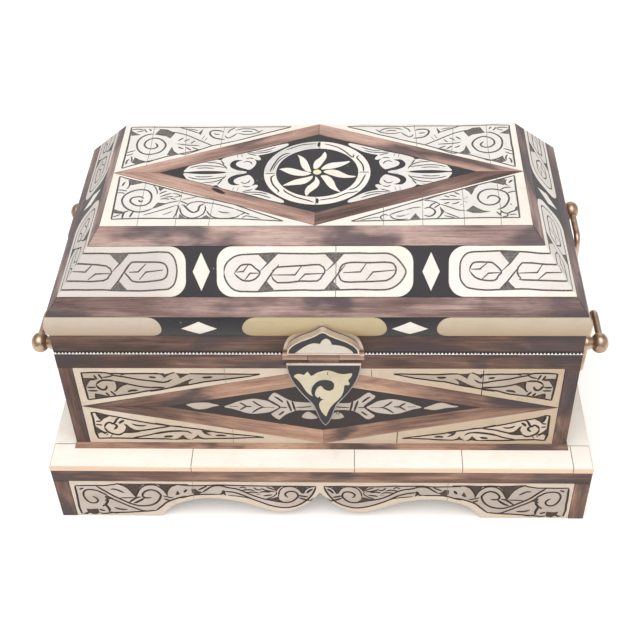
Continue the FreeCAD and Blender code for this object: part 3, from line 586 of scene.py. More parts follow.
def bone_material(name, pale, warm, stain, rough=0.42, pores=1.0, drift=1.0, low=None):
    m, nt, bs = node_tree(name)
    g = Graph(nt)
    co = g.coords()
    tone = g.attr("tone").outputs["Fac"]
    big = g.noise(co, 22.0, 3.0, 0.5)
    mid = g.noise(co, 90.0, 5.0, 0.6, 0.4)
    fib = g.noise(g.scaled(co, (70.0, 620.0, 620.0)), 1.0, 5.0, 0.62, 0.6)
    base = g.mix(g.ramp(big, [(0.30, 0.0), (0.72, drift)]), pale, warm)
    base = g.mix(g.math("MULTIPLY", tone, 0.55, True), base, warm)
    if low:
        z = g.node("ShaderNodeSeparateXYZ")
        g.link(co, z.inputs[0])
        q = z.outputs[low[4] if len(low) > 4 else "Z"]
        down = g.math("DIVIDE", g.math("SUBTRACT", low[1], q), low[1] - low[0], True)
        base = g.mix(down, base, low[2], low[3])
    base = g.mix(g.math("MULTIPLY", g.ramp(mid, [(0.50, 0.0), (0.78, 1.0)]), 0.42), base, stain)
    base = g.mix(g.math("MULTIPLY", g.ramp(fib, [(0.52, 0.0), (0.74, 1.0)]), 0.26), base, stain)
    vor = g.node("ShaderNodeTexVoronoi", feature="F1")
    vor.inputs["Scale"].default_value = 420.0
    g.link(co, vor.inputs["Vector"])
    dots = g.ramp(vor.outputs["Distance"], [(0.05, 1.0), (0.15, 0.0)])
    few = g.ramp(g.noise(co, 60.0, 2.0), [(0.52, 0.0), (0.62, 1.0)])
    pit = g.math("MULTIPLY", g.math("MULTIPLY", dots, few), 0.55 * pores)
    base = g.mix(pit, base, (0.20, 0.14, 0.085))
    base = g.mix(g.math("MULTIPLY", g.attr("edge").outputs["Fac"], 0.45), base,
                 (stain[0] * 0.62, stain[1] * 0.58, stain[2] * 0.54))
    g.link(base, bs.inputs["Base Color"])
    rr = g.ramp(mid, [(0.2, rough - 0.10), (0.8, rough + 0.14)])
    g.link(rr, bs.inputs["Roughness"])
    h = g.math("ADD", g.math("MULTIPLY", fib, 0.5), g.math("MULTIPLY", g.math("SUBTRACT", 1.0, pit), 0.8))
    g.bump(h, 0.22, 0.00012, bs)
    return m


def ink_material(name, dark, light):
    m, nt, bs = node_tree(name)
    g = Graph(nt)
    co = g.coords()
    a = g.noise(co, 900.0, 4.0, 0.65)
    b = g.noise(co, 160.0, 3.0, 0.5)
    c = g.mix(g.ramp(a, [(0.38, 0.0), (0.70, 1.0)]), dark, light)
    c = g.mix(g.math("MULTIPLY", g.ramp(b, [(0.5, 0.0), (0.8, 1.0)]), 0.5), c, light)
    g.link(c, bs.inputs["Base Color"])
    g.link(g.ramp(a, [(0.3, 0.55), (0.7, 0.85)]), bs.inputs["Roughness"])
    bs.inputs["Specular IOR Level"].default_value = 0.25
    g.bump(a, 0.5, 0.0002, bs)
    return m


def black_material(name, tint=(1.0, 1.0, 1.0)):
    m, nt, bs = node_tree(name)
    g = Graph(nt)
    co = g.coords()
    big = g.noise(co, 30.0, 4.0, 0.6)
    fine = g.noise(co, 700.0, 4.0, 0.6)
    c = g.mix(g.ramp(big, [(0.3, 0.0), (0.75, 1.0)]), (0.0155, 0.0138, 0.0165), (0.035, 0.0315, 0.0365))
    c = g.mix(g.math("MULTIPLY", fine, 0.30), c, (0.055, 0.051, 0.055))
    vor = g.node("ShaderNodeTexVoronoi", feature="F1")
    vor.inputs["Scale"].default_value = 260.0
    g.link(co, vor.inputs["Vector"])
    dots = g.ramp(vor.outputs["Distance"], [(0.06, 1.0), (0.13, 0.0)])
    few = g.ramp(g.noise(co, 75.0, 2.0), [(0.58, 0.0), (0.66, 1.0)])
    spot = g.math("MULTIPLY", dots, few)
    c = g.mix(g.math("MULTIPLY", spot, 0.65), c, (0.42, 0.40, 0.38))
    c = g.mix(1.0, c, tint, "MULTIPLY")
    g.link(c, bs.inputs["Base Color"])
    g.link(g.ramp(big, [(0.3, 0.40), (0.8, 0.58)]), bs.inputs["Roughness"])
    bs.inputs["Specular IOR Level"].default_value = 0.36
    h = g.math("ADD", g.math("MULTIPLY", fine, 0.4), g.math("MULTIPLY", big, 0.6))
    g.bump(h, 0.18, 0.0002, bs)
    return m


def wood_material(name, dark, mid, light, char, char_share, worn, seam=None, knot=None):
    m, nt, bs = node_tree(name)
    g = Graph(nt)
    gr = g.attr("grain").outputs["Vector"]
    tone = g.attr("tone").outputs["Fac"]
    edge = g.attr("edge").outputs["Fac"]
    far = g.noise(g.scaled(gr, (9.0, 26.0, 26.0)), 1.0, 3.0, 0.5, 0.2)
    broad = g.noise(g.scaled(gr, (24.0, 120.0, 120.0)), 1.0, 4.0, 0.55, 0.4)
    line = g.noise(g.scaled(gr, (22.0, 820.0, 820.0)), 1.0, 6.0, 0.62, 0.6)
    pore = g.noise(g.scaled(gr, (150.0, 2600.0, 2600.0)), 1.0, 3.0, 0.5)
    smoke = g.noise(g.scaled(gr, (13.0, 30.0, 30.0)), 1.0, 4.0, 0.55, 0.3)
    f = g.math("ADD", g.math("MULTIPLY", far, 0.42), g.math("MULTIPLY", broad, 0.30))
    f = g.math("ADD", f, g.math("MULTIPLY", line, 0.28))
    f = g.math("ADD", f, g.math("MULTIPLY", g.math("SUBTRACT", tone, 0.5), 0.10))
    pale = (min(0.72, light[0] * 1.42), min(0.5, light[1] * 1.55), min(0.4, light[2] * 1.60))
    c = g.ramp(f, [(0.40, dark), (0.495, mid), (0.60, light), (0.72, pale)])
    lo = 0.64 - 0.28 * char_share
    sm = g.ramp(g.math("SUBTRACT", smoke, g.math("MULTIPLY", g.math("SUBTRACT", tone, 0.5), 0.07)),
                [(lo, 0.0), (lo + 0.12, 1.0)], "EASE")
    c = g.mix(g.math("MULTIPLY", sm, 0.82), c, char)
    c = g.mix(g.math("MULTIPLY", g.ramp(pore, [(0.56, 0.0), (0.68, 1.0)]), 0.34), c,
              (dark[0] * 0.45, dark[1] * 0.45, dark[2] * 0.45))
    part = g.ramp(g.noise(g.coords(), 120.0, 3.0), [(0.34, 0.0), (0.56, 1.0)])
    c = g.mix(g.math("MULTIPLY", g.math("MULTIPLY", edge, part), 0.75), c, worn)
    # Dirt and painted shade of the seam: the strips darken to near black over their last millimetre above the seam.
    if seam:
        z = g.node("ShaderNodeSeparateXYZ")
        g.link(g.coords(), z.inputs[0])
        low = g.math("DIVIDE", g.math("SUBTRACT", seam[1], z.outputs["Z"]), seam[1] - seam[0], True)
        c = g.mix(g.math("MULTIPLY", low, 0.95), c, (0.016, 0.012, 0.011))
    if knot:
        z = g.node("ShaderNodeSeparateXYZ")
        g.link(g.coords(), z.inputs[0])
        du = g.math("SUBTRACT", z.outputs["X"], knot[0])
        dv = g.math("SUBTRACT", z.outputs["Y"], knot[1])
        ca, sa = math.cos(knot[2]), math.sin(knot[2])
        a1 = g.math("ADD", g.math("MULTIPLY", du, ca), g.math("MULTIPLY", dv, sa))
        b1 = g.math("SUBTRACT", g.math("MULTIPLY", dv, ca), g.math("MULTIPLY", du, sa))
        q = g.math("ADD", g.math("POWER", g.math("ABSOLUTE", g.math("DIVIDE", a1, knot[3])), 2.0),
                   g.math("POWER", g.math("ABSOLUTE", g.math("DIVIDE", b1, knot[4])), 2.0))
        q = g.math("ADD", q, g.math("MULTIPLY", g.math("SUBTRACT", line, 0.5), 1.6))
        c = g.mix(g.ramp(q, [(0.55, 1.0), (1.0, 0.0)]), c, (0.030, 0.020, 0.018))
    g.link(c, bs.inputs["Base Color"])
    g.link(g.ramp(line, [(0.25, 0.40), (0.75, 0.64)]), bs.inputs["Roughness"])
    bs.inputs["Specular IOR Level"].default_value = 0.26
    h = g.math("SUBTRACT", g.math("MULTIPLY", line, 0.6),
               g.math("MULTIPLY", g.ramp(pore, [(0.56, 0.0), (0.68, 1.0)]), 0.6))
    g.bump(h, 0.30, 0.00016, bs)
    return m


def metal_material(name, bright, dull, rough, scale=60.0, metallic=1.0, zone=()):
    """Zone: (axis, lower, upper, colour) spans in metres, each with a tone of its own."""
    m, nt, bs = node_tree(name)
    g = Graph(nt)
    co = g.coords()
    bs.inputs["Metallic"].default_value = metallic
    a = g.noise(co, scale, 5.0, 0.6, 0.5)
    b = g.noise(co, 700.0, 4.0, 0.6)
    c = g.mix(g.ramp(a, [(0.36, 0.0), (0.70, 1.0)]), bright, dull)
    for axis, lo, hi, tone in zone:
        z = g.node("ShaderNodeSeparateXYZ")
        g.link(co, z.inputs[0])
        q = z.outputs[axis]
        into = g.math("DIVIDE", g.math("SUBTRACT", q, lo), 0.0003, True)
        out = g.math("DIVIDE", g.math("SUBTRACT", hi, q), 0.0003, True)
        here = g.math("MULTIPLY", into, out)
        tint = g.mix(g.ramp(a, [(0.36, 0.0), (0.70, 1.0)]), tone, (tone[0] * 0.75, tone[1] * 0.72, tone[2] * 0.70))
        c = g.mix(here, c, tint)
    c = g.mix(g.math("MULTIPLY", g.ramp(b, [(0.55, 0.0), (0.8, 1.0)]), 0.45), c, (dull[0] * 0.5, dull[1] * 0.45, dull[2] * 0.4))
    g.link(c, bs.inputs["Base Color"])
    g.link(g.ramp(a, [(0.25, rough - 0.08), (0.8, rough + 0.16)]), bs.inputs["Roughness"])
    g.bump(b, 0.12, 0.00015, bs)
    return m


M_BONE_TOP = bone_material("bone_top", (0.83, 0.805, 0.77), (0.79, 0.735, 0.65), (0.64, 0.565, 0.475))
M_BONE_FIELD = bone_material("bone_top_field", (0.765, 0.745, 0.72), (0.72, 0.69, 0.655), (0.55, 0.51, 0.465))
LEFT = (-0.088, -0.070, (0.79, 0.77, 0.78), "MULTIPLY", "X")
M_BONE_CART = bone_material("bone_cartouche", (0.83, 0.805, 0.77), (0.79, 0.735, 0.65), (0.64, 0.565, 0.475), low=LEFT)
M_BONE_SLOPE = bone_material("bone_slope_field", (0.755, 0.715, 0.69), (0.70, 0.655, 0.61), (0.57, 0.50, 0.43), low=LEFT)
M_BONE_GREY = bone_material("bone_grey", (0.66, 0.65, 0.635), (0.60, 0.58, 0.55), (0.42, 0.40, 0.37))
M_BONE = bone_material("bone_ivory", (0.70, 0.655, 0.59), (0.64, 0.575, 0.47), (0.50, 0.41, 0.30))
# The last argument turns the tiles' sloping front edge tan: partly the bone's tint, partly painted shade on that edge.
M_LEDGE = bone_material("bone_ledge", (0.95, 0.925, 0.885), (0.93, 0.875, 0.795), (0.83, 0.73, 0.61), 0.40, 0.5,
                        low=(0.0483, 0.0490, (0.80, 0.585, 0.42), "MIX"))
M_BONE_TAN = bone_material("bone_aged", (0.69, 0.59, 0.495), (0.64, 0.525, 0.40), (0.46, 0.35, 0.25))
M_BONE_EDGE = bone_material("bone_case_border", (0.70, 0.60, 0.50), (0.645, 0.53, 0.405), (0.46, 0.35, 0.25),
                            low=(0.13, -0.06, (0.84, 0.77, 0.68), "MULTIPLY", "X"))
M_BONE_DIRT = bone_material("bone_soiled", (0.595, 0.507, 0.452), (0.42, 0.348, 0.295), (0.32, 0.25, 0.19))
M_BONE_CASE = bone_material("bone_case_soiled", (0.765, 0.640, 0.535), (0.58, 0.475, 0.385), (0.42, 0.325, 0.245),
                            low=(0.090, 0.082, (0.70, 0.69, 0.68), "MULTIPLY"))
# The last argument makes the band darker and yellower towards its bottom: partly the bone's own yellowing, partly
# painted shade on the underside of the half-round band.
M_BAND = bone_material("bone_band", (0.585, 0.503, 0.452), (0.490, 0.408, 0.215), (0.43, 0.33, 0.21), 0.34, 0.6, 0.12,
                       (0.1440, 0.1572, (0.80, 0.66, 0.50), "MULTIPLY"))
M_LEAF = bone_material("bone_flap_leaf", (0.66, 0.585, 0.44), (0.61, 0.525, 0.32), (0.44, 0.35, 0.21), 0.36, 0.6)
M_BEAD = bone_material("bead_yellow", (0.80, 0.77, 0.52), (0.74, 0.70, 0.40), (0.52, 0.47, 0.22), 0.34, 0.6)
M_INK = ink_material("cut_line_grey", (0.062, 0.057, 0.054), (0.18, 0.165, 0.155))
M_INK_BROWN = ink_material("cut_line_brown", (0.028, 0.019, 0.014), (0.078, 0.055, 0.041))
M_GROUND_TOP = ink_material("hatched_ground_grey", (0.085, 0.078, 0.074), (0.24, 0.22, 0.205))
M_GROUND = ink_material("hatched_ground_brown", (0.042, 0.030, 0.025), (0.125, 0.092, 0.076))
M_JOINT = ink_material("tile_joint", (0.16, 0.13, 0.10), (0.34, 0.29, 0.23))
M_JOINT_TOP = ink_material("tile_joint_top", (0.085, 0.075, 0.068), (0.22, 0.195, 0.175))
M_BLACK = black_material("black_ground")
M_BLACK_CASE = black_material("black_ground_case", (0.98, 0.70, 0.58))
WORN = (0.040, 0.026, 0.022)
ROSY = ((0.088, 0.054, 0.050), (0.20, 0.129, 0.117), (0.43, 0.298, 0.268), (0.078, 0.060, 0.071))
WARM = ((0.072, 0.040, 0.032), (0.185, 0.103, 0.078), (0.45, 0.265, 0.185), (0.058, 0.045, 0.052))
M_WALNUT = wood_material("walnut_slope_strips", *ROSY, 0.64, WORN)
M_WALNUT_CASE = wood_material("walnut_case_strips", *WARM, 0.58, WORN)
RUDDY = ((0.076, 0.045, 0.040), (0.19, 0.114, 0.096), (0.46, 0.292, 0.235), (0.064, 0.050, 0.058))
M_WALNUT_TOP = wood_material("walnut_top_frame", *RUDDY, 0.50, WORN, None, (-0.0558, -0.0176, -0.60, 0.0056, 0.0017))
# Its last argument darkens the lid's lower strips towards the seam below: dirt and painted seam shade.
M_WALNUT_LOW = wood_material("walnut_above_seam", *WARM, 0.56, WORN, (0.1318, 0.1328))
M_CARCASS = wood_material("carcass_board", (0.10, 0.058, 0.036), (0.20, 0.12, 0.075), (0.30, 0.19, 0.12),
                          (0.09, 0.06, 0.045), 0.10, (0.16, 0.10, 0.065))
M_BRASS = metal_material("aged_brass", (0.63, 0.465, 0.335), (0.40, 0.28, 0.195), 0.36)
# The dome's first zone is a painted shadow line on the flange's front face and the foot of the dome's wall.
M_DOME = metal_material("hasp_dome_metal", (0.77, 0.67, 0.555), (0.57, 0.47, 0.375), 0.42, 45.0, 0.60,
                        (("Y", -0.0832, -0.08222, (0.045, 0.03, 0.024)), ("Z", 0.12, 0.1350, (0.47, 0.315, 0.255))))
M_FLAP = metal_material("hasp_flap_metal", (0.40, 0.375, 0.385), (0.27, 0.245, 0.24), 0.42, 45.0, 0.70,
                        (("Z", 0.1246, 0.1266, (0.76, 0.62, 0.54)), ("Z", 0.1266, 0.2, (0.36, 0.23, 0.185))))
M_RIM = metal_material("rim_strip_metal", (0.95, 0.93, 0.90), (0.72, 0.67, 0.62), 0.34, 220.0, 0.40)
# Near-black metal that stands in for shade: painted shade for the plate in the seam and for the hasp pin between the
# knuckles.
M_SEAM_SHADE = metal_material("seam_iron", (0.085, 0.070, 0.060), (0.045, 0.036, 0.030), 0.55, 120.0, 0.3)


# ------------------------------------------------------------------ copies of CAD pieces with broken edges and grain
def islands(bm):
    """Vertices of each connected solid, in the mesh's own order."""
    bm.verts.index_update()
    seen = [False] * len(bm.verts)
    out = []
    for v in bm.verts:
        if seen[v.index]:
            continue
        seen[v.index] = True
        grp, todo = [v], [v]
        while todo:
            w = todo.pop()
            for e in w.link_edges:
                o = e.other_vert(w)
                if not seen[o.index]:
                    seen[o.index] = True
                    grp.append(o)
                    todo.append(o)
        out.append(grp)
    return out


def apart(me):
    """A bmesh of the mesh in which every closed solid has corners of its own, also where solids touch."""
    bm = bmesh.new()
    bm.from_mesh(me)
    bm.verts.ensure_lookup_table()
    hit = bmesh.ops.find_doubles(bm, verts=bm.verts, dist=2e-6)["targetmap"]
    one = [hit[v].index if v in hit else v.index for v in bm.verts]
    co = [v.co.copy() for v in bm.verts]
    faces = [[one[v.index] for v in f.verts] for f in bm.faces]
    bm.free()
    groups, cur, loose = [], [], {}
    for f in faces:
        if len(set(f)) < 3:
            continue
        cur.append(f)
        for a, b in zip(f, f[1:] + f[:1]):
            if loose.get((b, a), 0) > 0:
                loose[(b, a)] -= 1
                if loose[(b, a)] == 0:
                    del loose[(b, a)]
            else:
                loose[(a, b)] = loose.get((a, b), 0) + 1
        if not loose:
            groups.append(cur)
            cur = []
    if cur:
        groups.append(cur)
    out = bmesh.new()
    for grp in groups:
        own = {}
        for f in grp:
            for i in f:
                if i not in own:
                    own[i] = out.verts.new(co[i])
            try:
                out.faces.new([own[i] for i in f])
            except ValueError:
                pass
    return out, len(groups)


def remade(node, mat, bevel, segs=2, slot=None, seed=3, sharp=50.0, limit=30.0, alter=None, shade=None, fill=None):
    """The CAD node's own shape with its sharp edges broken, and grain running along each of its solids."""
    src = NODES[node]
    bm, count = apart(src.data)
    if alter:
        alter(bm)
    bmesh.ops.dissolve_limit(bm, angle_limit=math.radians(0.6), verts=bm.verts, edges=bm.edges)
    bm.normal_update()
    edges = [e for e in bm.edges if len(e.link_faces) == 2 and e.calc_face_angle(0.0) > math.radians(limit)]
    made = set()
    if bevel > 0 and edges:
        r = bmesh.ops.bevel(bm, geom=edges, offset=bevel * MM, segments=segs, profile=0.5, affect="EDGES",
                            offset_type="OFFSET", clamp_overlap=True)
        made = set(r["faces"])
    for f in bm.faces:
        f.material_index = 0
    if fill:
        for f in fill[0](bm):
            f.material_index = 1
    bm.normal_update()
    bm.verts.index_update()
    bm.faces.index_update()
    rnd = random.Random(seed)
    grain = np.zeros((len(bm.verts), 3), np.float32)
    tone_v = np.zeros(len(bm.verts), np.float32)
    for grp in islands(bm):
        co = np.array([v.co for v in grp])
        c = 0.5 * (co.min(0) + co.max(0))
        d = co - c
        ax = np.linalg.svd(d - d.mean(0), full_matrices=False)[2]
        if ax[0][np.argmax(np.abs(ax[0]))] < 0:
            ax[0] = -ax[0]
        off = np.array([rnd.uniform(-3, 3), rnd.uniform(-1, 1), rnd.uniform(-1, 1)])
        loc = d @ ax.T + off
        t = rnd.random()
        if shade:
            t = shade(c, t)
        for v, p in zip(grp, loc):
            grain[v.index] = p
            tone_v[v.index] = t(v.co) if callable(t) else t
    edge = np.array([1.0 if f in made else 0.0 for f in bm.faces], np.float32)
    which = np.array([f.material_index for f in bm.faces], np.int32)
    me = bpy.data.meshes.new(node + "_finished")
    bm.to_mesh(me)
    bm.free()
    me.materials.clear()
    me.materials.append(mat)
    if fill:
        me.materials.append(fill[1])
    me.polygons.foreach_set("material_index", which)
    a = me.attributes.new("grain", "FLOAT_VECTOR", "POINT")
    a.data.foreach_set("vector", grain.ravel())
    a = me.attributes.new("tone", "FLOAT", "POINT")
    a.data.foreach_set("value", tone_v)
    a = me.attributes.new("edge", "FLOAT", "FACE")
    a.data.foreach_set("value", edge)
    for name in ("custom_normal",):
        if name in me.attributes:
            me.attributes.remove(me.attributes[name])
    me.shade_smooth()
    me.set_sharp_from_angle(angle=math.radians(sharp))
    ob = bpy.data.objects.new(node + "_finished", me)
    scene.collection.objects.link(ob)
    wn = ob.modifiers.new("even_normals", "WEIGHTED_NORMAL")
    wn.keep_sharp = True
    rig.ride(ob, src["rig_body"])
    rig.replaces(ob, node)
    if slot:
        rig.slot(ob, slot)
    return ob


def paint(node, mat):
    o = NODES[node]
    me = o.data
    if len(me.materials) == 0:
        me.materials.append(mat)
    for i in range(len(me.materials)):
        me.materials[i] = mat


def level(base, spread=0.7):
    return lambda c, t: 0.5 + base + spread * (t - 0.5)


def to_middle(tip, middle):
    """Darker at the pointed ends of a lozenge frame and lighter towards its middle."""
    def f(c, t):
        return lambda p: 0.5 + 0.4 * (t - 0.5) + middle + (tip - middle) * min(1.0, abs(p[0]) / 0.115)
    return f


def slope_level(c, t):
    if c[1] < -0.03:
        return 0.5 + (0.92 if c[2] > 0.185 else -0.10) + 0.1 * (t - 0.5)
    return 0.5 + (-0.05 if abs(c[0]) > 0.1 else 0.2) + 0.3 * (t - 0.5)


def stile_level(c, t):
    return 0.5 + (-0.55 if c[0] > 0 and c[1] < 0 else -0.15) + 0.3 * (t - 0.5)


def rail_level(c, t):
    return 0.5 + (0.92 if c[2] < 0.06 else -0.68) + 0.2 * (t - 0.5)


def frame_level(c, t):
    return 0.5 + {(-1, 1): 0.62, (-1, -1): 0.50, (1, 1): 0.55, (1, -1): 0.12}[(1 if c[0] > 0 else -1, 1 if c[1] > 0 else -1)]


def foot(bm):
    """The lowest rail of the case runs out into a small hollow foot that rests on the ledge."""
    for z in (51.7, 50.8, 50.0):
        low = [f for f in bm.faces if max(v.co.z for v in f.verts) < 53.1 * MM]
        edges = list(dict.fromkeys(e for f in low for e in f.edges))
        verts = list(dict.fromkeys(v for f in low for v in f.verts))
        bmesh.ops.bisect_plane(bm, geom=verts + edges + low, dist=1e-7, plane_co=(0, 0, z * MM), plane_no=(0, 0, 1))
    for v in bm.verts:
        x, y, z = v.co / MM
        if z < 52.0:
            d = 1.7 * ((52.0 - z) / 2.9) ** 1.6
            if abs(x) > 149.9:
                v.co.x = math.copysign(150.0 + d, x) * MM
            if abs(y) > 80.9:
                v.co.y = math.copysign(81.0 + d, y) * MM


def brow(bm):
    """Wider sloping edge along the outside of the ledge, with a thin lip over the rail below."""
    bmesh.ops.dissolve_limit(bm, angle_limit=math.radians(0.6), verts=bm.verts, edges=bm.edges)
    rim = [e for e in bm.edges if all(abs(v.co.z / MM - 49.1) < 0.02 for v in e.verts)
           and (all(abs(abs(v.co.x) / MM - 165.0) < 0.02 for v in e.verts)
                or all(abs(abs(v.co.y) / MM - 97.0) < 0.02 for v in e.verts))]
    bmesh.ops.bevel(bm, geom=rim, offset=0.95 * MM, segments=1, profile=0.5, affect="EDGES", offset_type="OFFSET",
                    clamp_overlap=True)
    for v in bm.verts:
        x, y, z = v.co / MM
        if abs(x) > 164.9 or abs(y) > 96.9:
            if z < 46.4:
                v.co.z = 44.9 * MM
            if abs(x) > 164.9:
                v.co.x = math.copysign(165.12, x) * MM
            if abs(y) > 96.9:
                v.co.y = math.copysign(97.12, y) * MM


def ledge_joints(bm):
    """Dark filler in the joints between the ledge tiles, level with their surface."""
    out = []

    def bar(path, inward, across):
        rows = []
        for p, d in zip(path, inward):
            p, d = Vector(p), Vector(d)
            rows.append([bm.verts.new((p + across * k) * MM) for k in (-0.26, 0.26)] + [bm.verts.new((p + d) * MM)])
        new = [bm.faces.new(rows[0]), bm.faces.new(rows[-1][::-1])]
        for a, b in zip(rows, rows[1:]):
            new += [bm.faces.new((a[i], a[(i + 1) % 3], b[(i + 1) % 3], b[i])) for i in range(3)]
        bmesh.ops.recalc_face_normals(bm, faces=new)
        out.extend(new)

    X, Y = Vector((1, 0, 0)), Vector((0, 1, 0))
    prof = ((79.2, 49.118), (96.06, 49.118), (97.138, 48.16), (97.138, 44.93))
    deep = ((0.0, -0.24), (-0.10, -0.22), (-0.22, -0.10), (-0.24, 0.0))
    for sy, xs in ((-1, (-78.0, 21.4, 86.7, 153.1)), (1, (-92.0, -6.0, 83.0))):
        for x in xs:
            bar([(x, sy * y, z) for y, z in prof], [(0, sy * a, b) for a, b in deep], X)
    for sx in (-1, 1):
        for y in (-79.0, 9.0, 79.0):
            bar([(sx * (148.2 if i == 0 else a + 68.0), y, z) for i, (a, z) in enumerate(prof)],
                [(sx * a, 0, b) for a, b in deep], Y)
    return out


for n, b, mat, sh, alt in (("plinth_wood_rails", 0.35, M_WALNUT_CASE, level(-0.26, 0.2), None),
                           ("plinth_corner_stiles", 0.35, M_WALNUT_CASE, stile_level, None),
                           ("case_border_rails", 0.3, M_WALNUT_CASE, rail_level, foot),
                           ("case_border_stiles", 0.3, M_WALNUT_CASE, level(-0.34), None),
                           ("case_lozenge_frames", 0.16, M_WALNUT_CASE, to_middle(-0.45, 1.55), None),
                           ("side_lozenge_frames", 0.16, M_WALNUT_CASE, level(0.1), None),
                           ("lid_lower_strips", 0.3, M_WALNUT_LOW, level(-0.18, 0.5), None),
                           ("slope_wood_strips", 0.3, M_WALNUT, slope_level, None),
                           ("top_lozenge_frame", 0.16, M_WALNUT_TOP, frame_level, None)):
    remade(n, mat, b, 2, "walnut", seed=len(n) * 7 + 5, shade=sh, alter=alt)
WIDER = ((70.9, 77.0, 83.0, 89.5, 95.6, 100.2, 103.6, 105.0), (0.0, 1.0, 2.0, 2.9, 3.7, 4.0, 4.0, 4.4))


def wider_feet(bm):
    """Broader feet beside the arches of the long aprons."""
    for v in bm.verts:
        x, y, z = v.co / MM
        if 70.0 < abs(x) < 105.2 and z < 18.6:
            v.co.x = math.copysign(abs(x) - float(np.interp(abs(x), *WIDER)), x) * MM


for n in ("plinth_long_aprons", "plinth_short_aprons", "plinth_deck", "case_front_wall", "case_back_wall",
          "case_left_wall", "case_right_wall", "case_bottom", "lid_long_rims", "lid_short_rims", "lid_long_slopes",
          "lid_short_slopes", "lid_top_board"):
    remade(n, M_CARCASS, 0.12, 1, "carcass_wood", seed=len(n) * 5 + 2, alter=wider_feet if n == "plinth_long_aprons" else None)
remade("plinth_ledge_tiles", M_LEDGE, 0.24, 2, "bone", seed=11, limit=50.0, alter=brow, fill=(ledge_joints, M_JOINT))
remade("lid_diamonds", M_BONE_TOP, 0.14, 1, "bone", seed=4)
remade("lid_band_bone", M_BAND, 0.3, 2, "band_bone", seed=9, limit=40.0, sharp=45.0,
       shade=lambda c, t: 1.45 + 0.3 * t if abs(c[0]) < 0.06 else (0.55 if c[0] > 0 else 0.05) + 0.2 * t)
remade("hasp_dome_bone", M_BONE, 0.15, 2, "bone", seed=5, limit=60.0)
def knob(bm):
    """Fuller neck and a slightly flattened head on the handle posts; the bores stay as they are."""
    for v in bm.verts:
        x, y, z = v.co / MM
        s, ax = math.copysign(1.0, x), abs(x)
        cy = math.copysign(62.3, y)
        r = math.hypot(y - cy, z - 121.0)
        if 152.4 < ax < 158.6 and 2.9 < r < 4.2 and math.hypot(ax - 164.0, z - 121.0) > 2.6:
            k = 4.35 / r
            v.co = Vector((x, cy + (y - cy) * k, 121.0 + (z - 121.0) * k)) * MM
        elif ax > 158.6 and math.hypot(ax - 164.0, z - 121.0) > 2.6:
            v.co = Vector((s * (158.6 + (ax - 158.6) * 0.86), y, z)) * MM


remade("handle_posts", M_BRASS, 0.18, 2, "brass", seed=8, limit=40.0, alter=knob)
for n in ("left_bail", "right_bail"):
    remade(n, M_BRASS, 0.18, 2, "brass", seed=8, limit=40.0)
for n, mat in (("hasp_dome", M_DOME), ("hasp_flap", M_FLAP)):
    remade(n, mat, 0.12, 2, "brass", seed=8, limit=50.0)
for n in ("hinge_case_leaves", "hinge_lid_leaves", "hinge_pins", "hinge_case_screws", "hinge_lid_screws",
          "handle_nuts"):
    paint(n, M_BRASS)
# The hasp pin is painted near black: painted shade in the gaps between the knuckles.
paint("hasp_pin", M_SEAM_SHADE)
for n in ("lid_band_black", "slope_black_spacers", "hasp_dome_black"):
    paint(n, M_BLACK)


# ------------------------------------------------------------------ ornament: the top's corner plates
def wobble(seed, amp=0.22):
    r = random.Random(seed)
    a, b, c, d = [r.uniform(0, 6.28) for _ in range(4)]

    def f(u, v):
        return (u + amp * math.sin(0.21 * u + 0.13 * v + a) + 0.5 * amp * math.sin(0.47 * v + b),
                v + amp * math.sin(0.17 * u - 0.23 * v + c) + 0.5 * amp * math.sin(0.41 * u + d))
    return f


def engrave(p, rows, W, keep=None):
    """Cuts a drawing: L lines, P straight runs, D sunk dark ground, J joints between two tiles."""
    for kind, k, pts in rows:
        if keep and not keep(kind, pts):
            continue
        if kind == "L":
            p.line(pts, W * k)
        elif kind == "P":
            p.poly(pts, W * k)
        elif kind == "D":
            p.ground(pts)
        else:
            p.joint(pts, 0.26)


